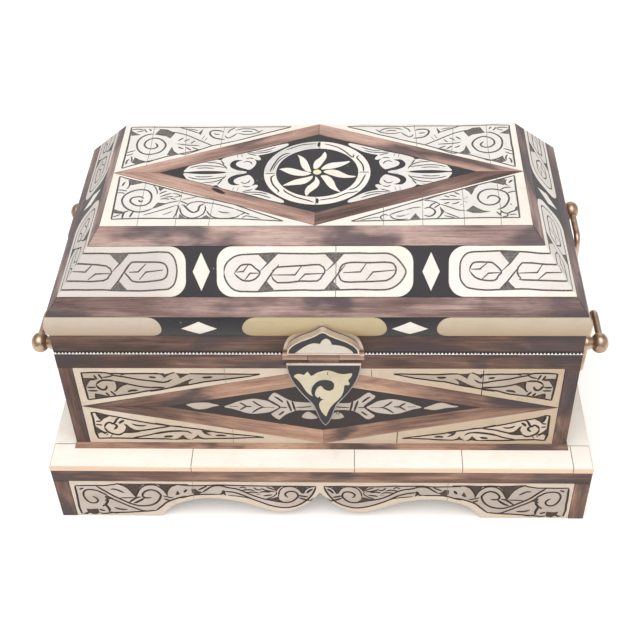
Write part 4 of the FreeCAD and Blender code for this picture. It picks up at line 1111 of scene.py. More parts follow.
TOP_FRONT_LEFT = (
    ("P", 1.1, ((-114.1, -3.8), (-113.7, -13.2), (-113.4, -23.7), (-113.0, -34.7), (-112.7, -43.5))),
    ("P", 1.1, ((-112.7, -43.7), (-106.4, -43.3), (-99.6, -43.0), (-93.7, -42.9), (-85.1, -43.1), (-76.6, -43.1),
              (-68.1, -43.3), (-55.4, -43.2), (-44.1, -43.4))),
    ("P", 1.0, ((-114.1, -3.6), (-107.6, -6.6), (-98.3, -10.0), (-89.0, -13.8), (-77.4, -18.9), (-68.2, -22.6),
              (-57.9, -26.0), (-45.1, -30.8))),
    ("D", 1.0, ((-108.1, -6.6), (-99.2, -9.8), (-100.9, -10.5), (-104.2, -11.7), (-106.8, -12.4))),
    ("D", 1.0, ((-90.3, -13.2), (-86.4, -14.9), (-88.0, -17.0), (-88.8, -18.3), (-90.0, -15.9))),
    ("D", 1.0, ((-89.8, -30.6), (-88.8, -28.6), (-83.0, -29.5), (-86.7, -31.5), (-91.3, -34.0))),
    ("D", 1.0, ((-112.9, -34.3), (-109.2, -36.2), (-106.7, -36.9), (-107.5, -39.0), (-112.7, -38.2))),
    ("D", 1.0, ((-75.4, -38.9), (-71.8, -42.6), (-75.5, -42.9))),
    ("D", 1.0, ((-62.9, -42.7), (-60.4, -40.1), (-57.4, -43.0))),
    ("L", 1.15, ((-91.1, -34.0), (-94.6, -36.3), (-98.8, -37.2), (-103.3, -35.6), (-107.0, -32.3), (-109.3, -27.1),
              (-108.8, -22.5), (-106.2, -19.0), (-102.2, -16.8), (-98.0, -16.6), (-95.2, -18.1), (-93.3, -21.7),
              (-93.0, -26.3), (-94.2, -29.5), (-96.6, -31.3), (-100.0, -31.4), (-103.1, -29.5), (-104.6, -27.0),
              (-104.2, -24.6), (-102.1, -23.4), (-99.0, -23.3), (-97.2, -24.9))),
    ("L", 1.3, ((-100.0, -26.2), (-98.8, -27.7), (-97.3, -26.7))),
    ("L", 0.9, ((-108.4, -7.2), (-107.4, -10.3), (-107.5, -14.0), (-108.9, -16.0))),
    ("L", 1.2, ((-111.3, -13.0), (-110.8, -10.7), (-110.1, -9.2))),
    ("L", 0.9, ((-113.6, -16.5), (-110.9, -16.9), (-107.7, -17.7))),
    ("L", 0.9, ((-113.3, -19.4), (-110.5, -19.4), (-108.6, -20.2))),
    ("L", 1.2, ((-106.8, -43.3), (-106.8, -39.6), (-106.1, -37.2), (-104.0, -36.1))),
    ("L", 1.2, ((-102.8, -42.0), (-102.3, -39.6), (-101.4, -36.8))),
    ("L", 0.9, ((-112.2, -41.6), (-110.2, -40.6), (-108.5, -39.4))),
    ("L", 0.8, ((-93.6, -12.3), (-91.6, -15.2), (-90.3, -19.2), (-90.4, -21.2))),
    ("L", 1.0, ((-89.0, -21.0), (-87.4, -19.2), (-84.8, -17.8))),
    ("L", 1.0, ((-88.2, -23.5), (-85.3, -21.4), (-81.9, -20.0))),
    ("L", 0.9, ((-85.9, -23.7), (-82.5, -23.2), (-80.6, -22.7))),
    ("L", 1.0, ((-88.0, -25.3), (-84.9, -25.0), (-82.5, -25.8))),
    ("L", 0.9, ((-82.4, -24.6), (-80.8, -25.1), (-78.9, -25.9))),
    ("L", 0.9, ((-86.6, -15.0), (-82.9, -16.5), (-78.6, -18.7))),
    ("L", 0.8, ((-81.6, -20.0), (-78.0, -21.1), (-75.8, -23.7))),
    ("L", 0.8, ((-80.3, -23.7), (-78.2, -23.2), (-76.0, -22.2))),
    ("L", 0.9, ((-91.1, -34.1), (-86.7, -31.3), (-82.7, -28.9), (-76.8, -27.0))),
    ("L", 0.8, ((-95.6, -40.0), (-90.1, -37.6), (-84.5, -34.8), (-78.1, -31.2))),
    ("L", 0.7, ((-84.8, -39.7), (-81.9, -38.3), (-79.7, -36.5))),
    ("L", 1.0, ((-78.1, -31.2), (-76.7, -32.2), (-77.0, -36.3), (-77.4, -39.7), (-78.5, -42.6))),
    ("L", 0.9, ((-75.8, -33.1), (-75.0, -37.0), (-73.6, -39.7), (-71.3, -41.8), (-68.2, -42.8), (-64.9, -41.8),
              (-62.2, -39.1), (-61.3, -34.9), (-61.9, -31.3))),
    ("L", 1.25, ((-75.2, -30.7), (-73.7, -31.4), (-71.7, -34.2), (-69.7, -36.6), (-67.5, -37.7), (-65.5, -36.3),
              (-65.1, -34.2), (-64.7, -31.8), (-62.2, -29.7))),
    ("L", 0.9, ((-76.4, -27.0), (-74.1, -28.6), (-71.7, -30.3))),
    ("L", 0.9, ((-72.4, -32.2), (-70.9, -29.6), (-68.5, -28.3), (-65.1, -27.9), (-61.1, -29.0), (-57.1, -29.7),
              (-52.2, -31.5), (-44.8, -34.7))),
    ("L", 0.7, ((-75.3, -25.7), (-71.9, -25.0), (-66.9, -23.3))),
    ("L", 0.9, ((-60.5, -36.0), (-59.0, -39.1), (-56.4, -41.9), (-52.0, -43.2), (-47.8, -42.9))),
    ("L", 0.9, ((-54.0, -36.4), (-51.7, -37.8), (-47.4, -38.3))),
    ("J", 1.0, ((-98.2, -4.5), (-98.1, -27.0), (-97.6, -50.8))),
    ("J", 1.0, ((-76.0, -13.8), (-76.2, -25.0), (-77.1, -32.1), (-76.6, -50.9))),
    ("J", 1.0, ((-57.3, -21.2), (-57.9, -37.7), (-58.3, -51.0))),
    ("P", 1.0, ((-44.4, -43.4), (-30.0, -44.6), (-17.5, -45.7))),
    ("P", 1.0, ((-45.2, -30.8), (-32.0, -38.0), (-17.5, -45.5))),
    ("L", 0.9, ((-47.8, -42.9), (-43.6, -42.0), (-41.4, -39.8))),
    ("L", 0.9, ((-44.8, -34.7), (-40.0, -37.4), (-36.4, -39.8))),
    ("L", 0.9, ((-41.4, -40.0), (-39.0, -38.4), (-36.6, -39.2))),
    ("L", 0.8, ((-40.4, -43.4), (-38.4, -41.0), (-35.0, -41.8), (-30.0, -43.4))),
)
TOP_FRONT_RIGHT = (
    ("P", 1.1, ((112.8, -4.2), (112.4, -16.9), (112.3, -29.5), (111.9, -43.3))),
    ("P", 1.0, ((49.3, -45.3), (58.1, -44.3), (70.3, -43.9), (81.6, -43.5), (92.9, -43.1), (112.0, -43.2))),
    ("P", 1.0, ((49.7, -31.4), (58.7, -27.1), (66.9, -23.3), (78.8, -18.6), (82.4, -17.1), (90.8, -13.4), (100.1, -9.7),
              (106.2, -7.0), (112.7, -4.3))),
    ("D", 1.0, ((83.3, -16.9), (87.5, -15.1), (91.7, -13.6), (89.3, -16.8), (88.1, -20.5), (87.0, -22.6), (85.8, -19.7))),
    ("D", 1.0, ((98.4, -10.9), (102.4, -9.2), (107.1, -7.2), (107.3, -10.1), (106.3, -13.7), (102.8, -12.0))),
    ("D", 1.0, ((83.1, -37.0), (87.3, -32.2), (89.6, -34.4), (92.5, -36.6), (96.7, -37.7), (91.5, -39.0), (86.7, -39.0))),
    ("D", 1.0, ((112.1, -31.3), (112.5, -34.5), (112.3, -37.7), (110.0, -36.1))),
    ("D", 1.0, ((51.7, -45.0), (55.3, -39.1), (57.9, -44.3))),
    ("D", 1.0, ((69.1, -33.4), (71.5, -37.5), (68.9, -41.8), (67.4, -44.0), (69.6, -39.7))),
    ("L", 1.15, ((100.5, -36.0), (104.2, -33.7), (106.8, -29.4), (107.8, -25.0), (106.7, -20.6), (103.8, -18.4),
              (99.9, -17.2), (95.8, -17.6), (92.5, -19.8), (90.7, -23.5), (90.8, -27.1), (92.6, -30.1), (95.6, -31.7),
              (99.1, -31.2), (101.7, -29.0), (102.6, -26.1), (101.1, -23.9), (98.5, -23.1), (96.6, -24.2), (95.7, -26.3))),
    ("L", 1.0, ((103.7, -17.8), (106.3, -15.8), (110.1, -15.4))),
    ("L", 1.0, ((107.5, -20.8), (109.9, -19.6), (112.2, -19.2))),
    ("L", 0.9, ((108.0, -7.7), (107.0, -10.5), (107.4, -13.1), (109.2, -13.7))),
    ("L", 1.3, ((109.0, -11.4), (110.2, -9.7), (111.3, -8.4))),
    ("L", 1.1, ((102.0, -36.2), (103.3, -38.4), (105.4, -39.3), (108.2, -37.7), (110.2, -36.6), (111.0, -33.6))),
    ("L", 1.0, ((99.8, -37.7), (101.0, -39.8), (102.2, -41.7))),
    ("L", 0.9, ((102.6, -37.2), (102.1, -38.7), (101.7, -40.5))),
    ("L", 1.0, ((102.8, -42.4), (105.3, -41.6), (105.9, -39.3))),
    ("L", 0.9, ((106.5, -40.6), (108.4, -40.2), (110.6, -40.2))),
    ("D", 1.0, ((107.9, -30.7), (108.5, -30.3), (108.8, -31.3), (108.1, -31.9))),
    ("L", 0.9, ((69.0, -26.7), (74.7, -26.7), (81.5, -26.7))),
    ("L", 1.0, ((71.7, -23.4), (73.1, -23.7), (74.9, -24.6))),
    ("L", 1.0, ((74.8, -22.5), (76.7, -23.2), (78.7, -24.0))),
    ("L", 1.0, ((77.7, -19.7), (79.1, -21.0), (80.5, -22.1))),
    ("L", 1.0, ((71.3, -30.4), (72.8, -30.0), (74.5, -29.2))),
    ("L", 1.0, ((75.7, -30.9), (78.1, -30.1), (80.1, -28.8))),
    ("L", 0.8, ((80.1, -32.0), (81.6, -30.7))),
    ("L", 0.8, ((82.6, -26.1), (85.2, -24.0))),
    ("L", 0.8, ((82.5, -28.4), (84.8, -29.4))),
    ("L", 0.8, ((61.0, -27.1), (67.8, -23.5), (76.9, -19.3), (82.2, -17.3))),
    ("L", 0.9, ((69.6, -31.0), (74.3, -33.6), (78.6, -36.1), (82.9, -37.0))),
    ("L", 0.9, ((71.4, -38.1), (74.8, -40.4), (79.2, -43.2))),
    ("L", 0.9, ((70.8, -41.2), (73.8, -42.2), (76.6, -43.0))),
    ("L", 0.9, ((60.0, -27.3), (63.1, -27.7), (66.6, -28.8), (69.4, -31.3))),
    ("L", 1.0, ((63.0, -34.0), (64.8, -31.0), (67.4, -29.2))),
    ("L", 1.0, ((65.8, -34.4), (67.3, -32.8), (69.3, -31.0))),
    ("L", 1.1, ((60.3, -35.1), (62.4, -33.9), (65.0, -35.0), (66.2, -37.9), (64.8, -40.7), (62.5, -41.8), (59.9, -40.5))),
    ("L", 0.9, ((69.1, -33.4), (69.8, -37.9), (68.7, -41.4), (66.2, -44.4))),
    ("L", 0.8, ((49.6, -36.1), (54.1, -34.2), (58.9, -33.5))),
    ("L", 0.8, ((49.7, -31.4), (55.1, -28.9), (59.8, -27.3))),
    ("L", 0.8, ((49.5, -40.8), (51.9, -39.4))),
    ("J", 1.0, ((59.8, -21.1), (59.4, -34.2), (58.9, -51.2))),
    ("J", 1.0, ((82.3, -12.6), (82.2, -30.7), (81.5, -51.3))),
    ("J", 1.0, ((102.5, -2.8), (102.3, -19.8), (102.3, -34.5), (101.3, -51.4))),
    ("P", 1.0, ((49.3, -45.3), (35.0, -45.5), (20.0, -46.0))),
    ("P", 1.0, ((49.7, -31.4), (35.0, -38.5), (20.0, -45.8))),
    ("L", 0.9, ((41.0, -40.4), (42.8, -43.4), (46.6, -44.6), (51.0, -44.0))),
    ("L", 0.9, ((41.0, -40.4), (45.6, -37.8), (49.6, -36.1))),
    ("L", 0.9, ((44.4, -41.4), (47.0, -41.6), (49.5, -40.8))),
    ("L", 0.9, ((40.6, -41.0), (38.2, -40.2), (36.0, -42.4), (37.2, -45.0))),
    ("L", 0.7, ((36.0, -42.4), (31.0, -43.2), (25.0, -45.0))),
    ("J", 1.0, ((37.6, -32.0), (37.8, -40.0), (37.6, -51.0))),
)
TOP_BACK_LEFT = (
    ("P", 1.1, ((-114.8, 48.9), (-114.2, 31.0), (-114.2, 9.1))),
    ("P", 0.9, ((-114.8, 49.1), (-104.7, 49.3), (-97.2, 49.1), (-85.8, 48.8), (-71.7, 48.6), (-49.7, 48.7))),
    ("P", 1.0, ((-114.2, 9.1), (-108.6, 11.9), (-100.9, 15.2), (-95.7, 17.1), (-89.7, 20.0), (-79.2, 23.4), (-69.5, 26.9),
              (-63.4, 30.3), (-48.7, 35.2))),
    ("D", 1.0, ((-114.3, 45.6), (-111.4, 43.4), (-108.1, 41.3), (-113.7, 40.4))),
    ("D", 1.0, ((-96.9, 47.2), (-92.6, 46.7), (-87.1, 43.1), (-89.6, 37.6), (-92.2, 39.7), (-99.5, 41.6), (-97.6, 45.6))),
    ("D", 1.0, ((-89.5, 21.6), (-87.5, 29.5), (-85.7, 25.1), (-82.8, 22.5), (-86.1, 20.5))),
    ("D", 1.0, ((-109.6, 14.7), (-108.3, 18.5), (-105.1, 15.8), (-102.0, 15.0), (-106.5, 12.9))),
    ("D", 1.0, ((-73.2, 42.7), (-70.5, 47.3), (-71.4, 40.8))),
    ("L", 1.1, ((-108.6, 19.4), (-105.2, 16.7), (-100.0, 15.1), (-95.8, 17.3))),
    ("L", 1.15, ((-100.0, 42.1), (-102.8, 41.9), (-106.2, 39.8), (-108.3, 36.6), (-108.9, 32.1), (-107.7, 27.3),
              (-104.9, 23.7), (-101.0, 22.2), (-97.4, 22.7), (-94.0, 24.5), (-91.9, 27.9), (-91.5, 31.2), (-93.2, 34.8),
              (-96.1, 37.3), (-99.0, 38.0), (-102.1, 36.7), (-104.0, 34.1), (-104.2, 31.0), (-102.3, 28.4), (-99.4, 27.5),
              (-96.8, 28.8), (-96.4, 30.8), (-98.1, 33.4))),
    ("L", 1.0, ((-114.3, 46.4), (-111.0, 47.2), (-106.9, 46.5))),
    ("L", 0.9, ((-111.1, 44.4), (-108.8, 44.7), (-106.8, 45.8))),
    ("L", 0.9, ((-106.8, 47.1), (-105.7, 45.5), (-104.7, 43.8))),
    ("L", 0.9, ((-103.8, 47.4), (-102.9, 46.4), (-102.1, 45.1))),
    ("L", 0.9, ((-114.0, 23.4), (-111.5, 24.9), (-108.9, 26.1))),
    ("L", 0.9, ((-114.1, 21.0), (-111.9, 21.8), (-109.6, 23.1))),
    ("L", 1.1, ((-112.5, 12.7), (-112.4, 15.9), (-111.3, 17.8))),
    ("L", 0.9, ((-109.8, 15.1), (-109.8, 18.2), (-110.8, 20.6))),
    ("L", 0.9, ((-84.6, 32.3), (-78.2, 31.0), (-71.0, 30.5))),
    ("L", 1.1, ((-84.4, 35.2), (-83.0, 36.8), (-81.6, 38.1))),
    ("L", 1.0, ((-81.0, 34.5), (-79.4, 35.7), (-77.7, 36.9))),
    ("L", 0.9, ((-76.6, 32.5), (-75.5, 33.8), (-74.3, 35.2))),
    ("L", 1.1, ((-83.7, 29.2), (-82.0, 28.1), (-80.3, 27.3))),
    ("L", 1.0, ((-78.9, 28.8), (-77.3, 27.4), (-75.6, 26.0))),
    ("L", 0.9, ((-75.3, 28.8), (-73.2, 27.5), (-71.1, 26.4))),
    ("L", 0.9, ((-88.6, 44.1), (-82.7, 42.1), (-77.7, 39.6), (-70.8, 35.0), (-63.1, 30.2))),
    ("L", 0.9, ((-84.9, 48.6), (-78.9, 45.8), (-72.8, 42.6))),
    ("L", 0.8, ((-80.0, 47.2), (-76.1, 46.2), (-73.2, 45.1))),
    ("L", 0.9, ((-83.3, 22.7), (-79.0, 22.1), (-73.8, 24.4), (-69.2, 26.9))),
    ("L", 1.2, ((-57.9, 44.0), (-60.1, 45.0), (-63.9, 45.4), (-66.0, 43.9), (-65.6, 41.1), (-63.2, 38.2), (-59.8, 36.9),
              (-56.3, 36.3))),
    ("L", 1.0, ((-63.8, 42.3), (-62.1, 41.6), (-60.0, 41.4))),
    ("L", 1.1, ((-70.5, 36.4), (-69.0, 40.1))),
    ("L", 1.1, ((-68.5, 35.2), (-67.3, 38.0))),
    ("L", 0.9, ((-55.2, 42.6), (-54.1, 45.5), (-51.0, 48.0))),
    ("L", 0.9, ((-56.9, 40.2), (-54.8, 37.7), (-52.2, 39.3), (-49.3, 42.6))),
    ("J", 1.0, ((-100.8, 50.2), (-100.1, 29.2), (-100.3, 10.3))),
    ("J", 1.0, ((-57.5, 49.7), (-58.2, 39.4), (-58.4, 26.4))),
    ("J", 1.0, ((-80.9, 48.7), (-79.7, 33.9), (-78.0, 17.9))),
    ("P", 0.9, ((-49.7, 48.7), (-34.0, 48.7), (-17.0, 48.8))),
    ("P", 1.0, ((-48.7, 35.2), (-34.0, 41.6), (-17.0, 48.6))),
    ("L", 0.9, ((-51.0, 45.4), (-46.0, 46.9), (-40.0, 46.4), (-36.4, 44.0))),
    ("L", 0.9, ((-49.3, 42.6), (-44.0, 41.2), (-38.0, 42.6), (-34.0, 45.6))),
    ("L", 1.0, ((-47.0, 44.2), (-43.0, 44.4), (-40.0, 43.8))),
)


FIELD_FRONT_LEFT = ((-114.1, -3.7), (-113.4, -23.7), (-112.7, -43.6), (-99.6, -43.0), (-76.6, -43.1), (-44.3, -43.4),
                    (-30.0, -44.6), (-17.5, -45.6), (-32.0, -38.0), (-45.2, -30.8), (-57.9, -26.0), (-77.4, -18.9),
                    (-98.3, -10.0))
FIELD_FRONT_RIGHT = ((112.8, -4.2), (112.4, -16.9), (111.9, -43.3), (92.9, -43.1), (70.3, -43.9), (49.3, -45.3),
                     (20.0, -45.9), (35.0, -38.5), (49.7, -31.4), (66.9, -23.3), (82.4, -17.1), (100.1, -9.7))
FIELD_BACK_LEFT = ((-114.8, 48.9), (-114.2, 31.0), (-114.2, 9.1), (-100.9, 15.2), (-89.7, 20.0), (-79.2, 23.4),
                   (-69.5, 26.9), (-48.7, 35.2), (-34.0, 41.6), (-17.0, 48.6), (-49.7, 48.7), (-85.8, 48.8),
                   (-104.7, 49.3))


def back_left(u, v):
    return u, 46.9 - (48.9 - v) * 1.07


top_corners = Plates("top_bone_corners_cut", "lid", ["top_bone_corners"], "bone")
for k, (sx, sy, rows, field) in enumerate(((-1, -1, TOP_FRONT_LEFT, FIELD_FRONT_LEFT),
                                           (1, -1, TOP_FRONT_RIGHT, FIELD_FRONT_RIGHT),
                                           (-1, 1, TOP_BACK_LEFT, FIELD_BACK_LEFT),
                                           (1, 1, TOP_BACK_LEFT, FIELD_BACK_LEFT))):
    tri = [(sx * TOP_HX, 0.0), (0.0, sy * TOP_HY), (sx * TOP_HX, sy * TOP_HY)]
    wob = wobble(40 + k, 0.2)
    if sy < 0:
        pen = Pen()
    elif sx < 0:
        pen = Pen(back_left)
    else:
        pen = Pen(lambda u, v, wob=wob: wob(-u, back_left(u, v)[1]))
    pen.stain(field)
    engrave(pen, rows, 0.98)
    turn = -1 if (sx > 0 and sy > 0) else 1
    xs = [turn * pts[1][0] for kind, w, pts in rows if kind == "J"]
    top_corners.add(tri, pen.shapes, top_map, depth=0.2, cuts=xs, seed=70 + k)
top_corners.make([M_BONE_TOP, M_INK, M_JOINT_TOP, M_GROUND_TOP, M_BONE_FIELD])


# ------------------------------------------------------------------ ornament: top ring and leaf arabesques
ground = Plates("top_ground_cut", "lid", ["top_black_lozenge"], "black_ground")
ground.add([(-91.7, 0.0), (0.0, -38.2), (91.7, 0.0), (0.0, 38.2)], [], lambda u, v, w: top_map(u, v, w - 0.14),
           thick=1.86, gap=0.04, cham=0.05)
ground.make([M_BLACK, M_INK, M_JOINT, M_GROUND_TOP])

PETALS = (
    ((-12.0, 17.1), (-10.5, 16.4), (-8.2, 14.4), (-6.3, 11.3), (-4.8, 6.7), (-3.7, 2.1), (-3.4, 0.3), (-5.5, 0.4), (-7.7, 2.5), (-9.4, 5.9), (-10.3, 9.8), (-10.9, 13.6)),
    ((-2.2, 3.6), (-2.5, 5.5), (-2.4, 8.2), (-1.4, 11.3), (0.4, 13.6), (2.1, 16.3), (3.6, 19.9), (4.6, 19.5), (5.2, 16.7), (4.9, 13.5), (3.6, 10.1), (2.1, 6.6), (0.6, 4.0), (-0.7, 3.1)),
    ((2.2, 2.7), (3.3, 5.5), (5.4, 7.8), (8.5, 9.3), (12.1, 9.8), (15.7, 10.3), (18.6, 10.9), (18.6, 9.6), (16.1, 7.3), (13.1, 5.1), (9.5, 3.6), (6.0, 2.8)),
    ((3.5, 0.4), (6.0, 2.1), (9.1, 2.4), (12.2, 1.4), (15.3, -1.0), (18.5, -3.2), (22.1, -4.0), (21.9, -5.0), (18.5, -5.7), (15.0, -5.7), (11.4, -4.8), (8.3, -3.2), (5.7, -1.7)),
    ((2.1, -3.5), (4.4, -3.0), (6.6, -3.9), (8.8, -6.5), (10.2, -9.9), (11.1, -13.5), (12.5, -16.8), (13.8, -18.7), (13.0, -19.0), (10.3, -17.6), (7.7, -15.3), (5.7, -12.0), (4.1, -8.4), (2.7, -5.4)),
    ((-1.0, -4.1), (0.3, -5.7), (1.6, -8.7), (1.6, -11.6), (0.5, -14.6), (-1.4, -17.1), (-3.5, -19.6), (-4.9, -22.4), (-5.7, -22.5), (-6.5, -20.0), (-6.4, -17.1), (-5.2, -13.8), (-3.3, -11.3), (-1.6, -8.7), (-1.0, -6.3)),
    ((-2.3, -3.7), (-3.5, -3.9), (-6.1, -5.0), (-9.6, -6.2), (-12.6, -7.4), (-15.6, -9.4), (-17.7, -11.2), (-19.4, -12.8), (-18.7, -13.1), (-15.5, -12.8), (-12.0, -12.3), (-8.5, -11.8), (-5.5, -10.2), (-3.4, -7.6), (-2.4, -5.4)),
    ((-3.4, -1.0), (-5.9, 0.3), (-9.0, 1.4), (-12.2, 2.9), (-15.4, 4.1), (-18.5, 4.3), (-22.1, 3.0), (-21.0, 2.1), (-18.3, -0.1), (-15.5, -2.0), (-12.4, -3.2), (-8.8, -3.7), (-5.8, -3.1), (-3.7, -1.7)),
)
flower = Plates("top_flower_cut", "lid", ["top_flower"], "bone")
for k, pts in enumerate(PETALS):
    flower.add(curve(pts, 4, True), [], top_map, thick=1.2, gap=0.0, cham=0.22, seed=30 + k)
flower.make([M_BONE_TOP, M_INK, M_JOINT, M_GROUND_TOP])
bead = Plates("top_flower_bead", "lid", [], "bone")
bead.add(arc(0.0, 0.0, 2.75, 0, 348, 29), [], lambda u, v, w: top_map(u, v, w), thick=1.2, gap=0.0, cham=0.5, seed=39)
bead.make([M_BEAD, M_INK, M_JOINT, M_GROUND_TOP])

ring = Plates("top_ring_cut", "lid", ["top_ring"], "bone")
CUTS = [88.0, 182.0, 270.0, 358.0]
RING_LINES = (
    ((0.80, ((29.0, 92.0), (29.4, 107.6), (29.4, 120.0), (29.8, 131.0))),
     (0.92, ((25.1, 131.6), (26.7, 135.8), (27.2, 146.8), (26.9, 164.4), (27.8, 179.1))),
     (0.60, ((25.0, 135.2), (25.4, 149.2), (25.7, 163.6), (26.2, 175.8))),
     (1.5, ((25.6, 89.6), (28.0, 89.4), (30.6, 89.2)))),
    ((1.0, ((24.6, 186.1), (27.4, 192.0), (28.1, 205.7), (28.4, 219.8), (30.1, 221.3))),
     (1.0, ((25.2, 221.5), (26.1, 225.9), (26.4, 233.6), (26.9, 245.4), (27.7, 260.3), (29.5, 268.2))),
     (0.60, ((24.6, 183.2), (28.0, 183.4), (30.6, 183.2)))),
    ((0.88, ((30.6, 322.3), (29.1, 316.1), (27.4, 311.0), (27.1, 301.4), (27.3, 292.2), (27.5, 272.8))),
     (0.88, ((28.6, 355.1), (27.8, 340.1), (27.4, 326.0), (25.6, 315.9))),
     (1.5, ((25.6, 271.5), (28.0, 271.6), (30.6, 271.6)))),
    ((0.92, ((29.1, 443.3), (28.2, 434.5), (27.4, 423.7), (26.2, 411.7), (25.3, 396.5), (26.9, 397.6), (27.4, 400.6))),
     (0.92, ((29.8, 394.3), (27.3, 391.6), (27.1, 383.5), (27.5, 373.0), (27.2, 360.5))),
     (0.60, ((24.6, 359.6), (28.0, 359.4), (30.6, 359.6)))),
)
for k in range(4):
    a0, a1 = CUTS[k], CUTS[(k + 1) % 4] + (360 if k == 3 else 0)
    out = arc(0, 0, 30.9, a0, a1, 40) + arc(0, 0, 23.6, a1, a0, 40)
    pen = Pen(wobble(60 + k, 0.08))
    span = a1 - a0
    if k == 0:
        pen.shapes.append((inset(ccw(out), 0.4), 4))
    for width, run in RING_LINES[k]:
        pen.line(curve([(0.984 * r * math.cos(math.radians(a)), 0.984 * r * math.sin(math.radians(a))) for r, a in run], 3),
                 width)
    ring.add(out, pen.shapes, top_map, depth=0.18, gap=0.08, cham=0.2, seed=80 + k)
ring.make([M_BONE_TOP, M_INK, M_JOINT, M_GROUND_TOP, M_BONE_GREY])

PALMETTE = [(-77.6, 1.0), (-76.4, 4.0), (-74.2, 7.2), (-70.3, 9.2), (-65.9, 10.0), (-65.2, 10.9), (-63.0, 12.2),
            (-59.5, 12.8), (-57.1, 12.3), (-55.8, 14.0), (-53.3, 15.5), (-49.9, 17.0), (-44.7, 18.8), (-38.9, 21.0),
            (-32.5, 23.8), (-26.8, 26.3), (-22.2, 28.0), (-18.9, 29.0), (-17.7, 28.2), (-18.8, 26.2), (-21.8, 23.8), (-26.2, 20.4),
            (-31.2, 18.1), (-35.0, 16.8), (-33.9, 14.7), (-33.4, 12.6), (-35.0, 12.0), (-37.1, 12.8), (-35.9, 10.7),
            (-36.1, 7.7), (-37.4, 4.7), (-39.4, 2.6), (-42.3, 3.6), (-45.6, 5.2), (-47.6, 7.4), (-47.4, 9.8),
            (-45.5, 11.3), (-44.0, 11.9), (-45.9, 12.3), (-48.5, 12.1), (-50.5, 10.0), (-51.1, 7.0), (-49.9, 4.5),
            (-47.4, 2.7), (-44.4, 1.7), (-41.5, 0.8), (-41.4, 0.0), (-51.3, 0.0), (-54.3, 0.8), (-59.0, 1.4),
            (-64.8, 1.6), (-70.6, 1.3), (-75.2, 0.6)]


def palmette_drawing(p):
    W = 0.8
    p.line([(-74.4, 4.4), (-70.0, 6.2), (-64.0, 6.6), (-57.6, 5.6), (-53.4, 4.6)], W)
    p.line([(-70.6, 4.0), (-65.0, 4.4), (-60.0, 3.8)], W)
    p.line([(-65.6, 9.8), (-61.0, 9.6), (-57.2, 8.4), (-54.2, 6.2), (-52.4, 3.0)], W)
    p.line([(-56.8, 12.0), (-55.6, 9.6), (-54.6, 7.4)], W)
    p.line([(-61.6, 11.6), (-59.0, 10.8)], W)
    p.line([(-47.6, 17.4), (-47.2, 14.6)], W)
    p.line([(-45.2, 18.2), (-44.4, 15.0)], W)
    p.line([(-42.0, 18.8), (-38.2, 17.4), (-36.2, 16.4)], W)
    p.line([(-41.6, 19.6), (-36.0, 19.2), (-31.0, 19.8), (-27.2, 21.6)], W)
    p.line([(-37.0, 21.0), (-32.6, 21.4), (-28.4, 23.2), (-25.4, 25.0)], W)
    p.line([(-43.6, 9.6), (-41.4, 10.8), (-39.2, 9.8), (-38.2, 7.6)], W)
    p.line([(-42.2, 13.2), (-40.0, 14.2), (-37.6, 13.4)], W)
    p.line([(-46.8, 2.0), (-44.0, 0.9)], W * 0.8)


def half_plane(pts, keep_above):
    """Part of the polygon with v above 0.06, as the half that meets its mirror image on the centre line."""
    out = []
    for u, v in pts:
        out.append((u, max(v, 0.06)) if keep_above else (u, min(v, -0.06)))
    clean = [out[0]]
    for q in out[1:]:
        if math.hypot(q[0] - clean[-1][0], q[1] - clean[-1][1]) > 0.02:
            clean.append(q)
    return clean


def within_rhomb(pts, iu, iv, d):
    """Pulls points back inside the black lozenge's edge."""
    k = 1 - d * math.hypot(1 / iu, 1 / iv)
    out = []
    for u, v in pts:
        s = abs(u) / iu + abs(v) / iv
        out.append((u * k / s, v * k / s) if s > k else (u, v))
    return out


pal = Plates("top_palmettes_cut", "lid", ["top_palmettes"], "bone")
half = within_rhomb(half_plane(curve(PALMETTE, 4, True), True), 91.7, 38.2, 0.45)
for k, (sx, sy) in enumerate(((1, 1), (1, -1), (-1, 1), (-1, -1))):
    pen = Pen(lambda u, v, sx=sx, sy=sy: (u * sx, v * sy))
    palmette_drawing(pen)
    pal.add([(u * sx, v * sy) for u, v in half], pen.shapes, top_map, depth=0.18, gap=0.0, cham=0.16, seed=90 + k)
pal.make([M_BONE_FIELD, M_INK, M_JOINT, M_GROUND_TOP])


# ------------------------------------------------------------------ ornament: strapwork cartouches on the slopes
def crossing(p, x, W, top=35.4, bot=15.2):
    """Two crossing straps with sunk dark triangles above and below."""
    p.ground([(x - 5.0, top), (x + 5.2, top), (x + 0.2, 29.9)])
    p.ground([(x - 5.4, bot), (x + 3.8, bot), (x - 0.6, 20.3)])
    p.line([(x - 4.2, 25.4), (x + 0.2, 29.8), (x + 5.4, top)], W, 1)
    p.line([(x - 5.4, bot), (x - 0.8, 20.2), (x + 2.2, 24.4), (x + 6.2, 29.2)], W, 1)
    p.line([(x - 5.2, top), (x, 29.8)], W, 1)
    p.line([(x - 0.8, 20.2), (x + 3.8, bot)], W, 1)


def zigzag(p, a, b, c, W):
    p.line([a, b, c], W, 1, 0.5)


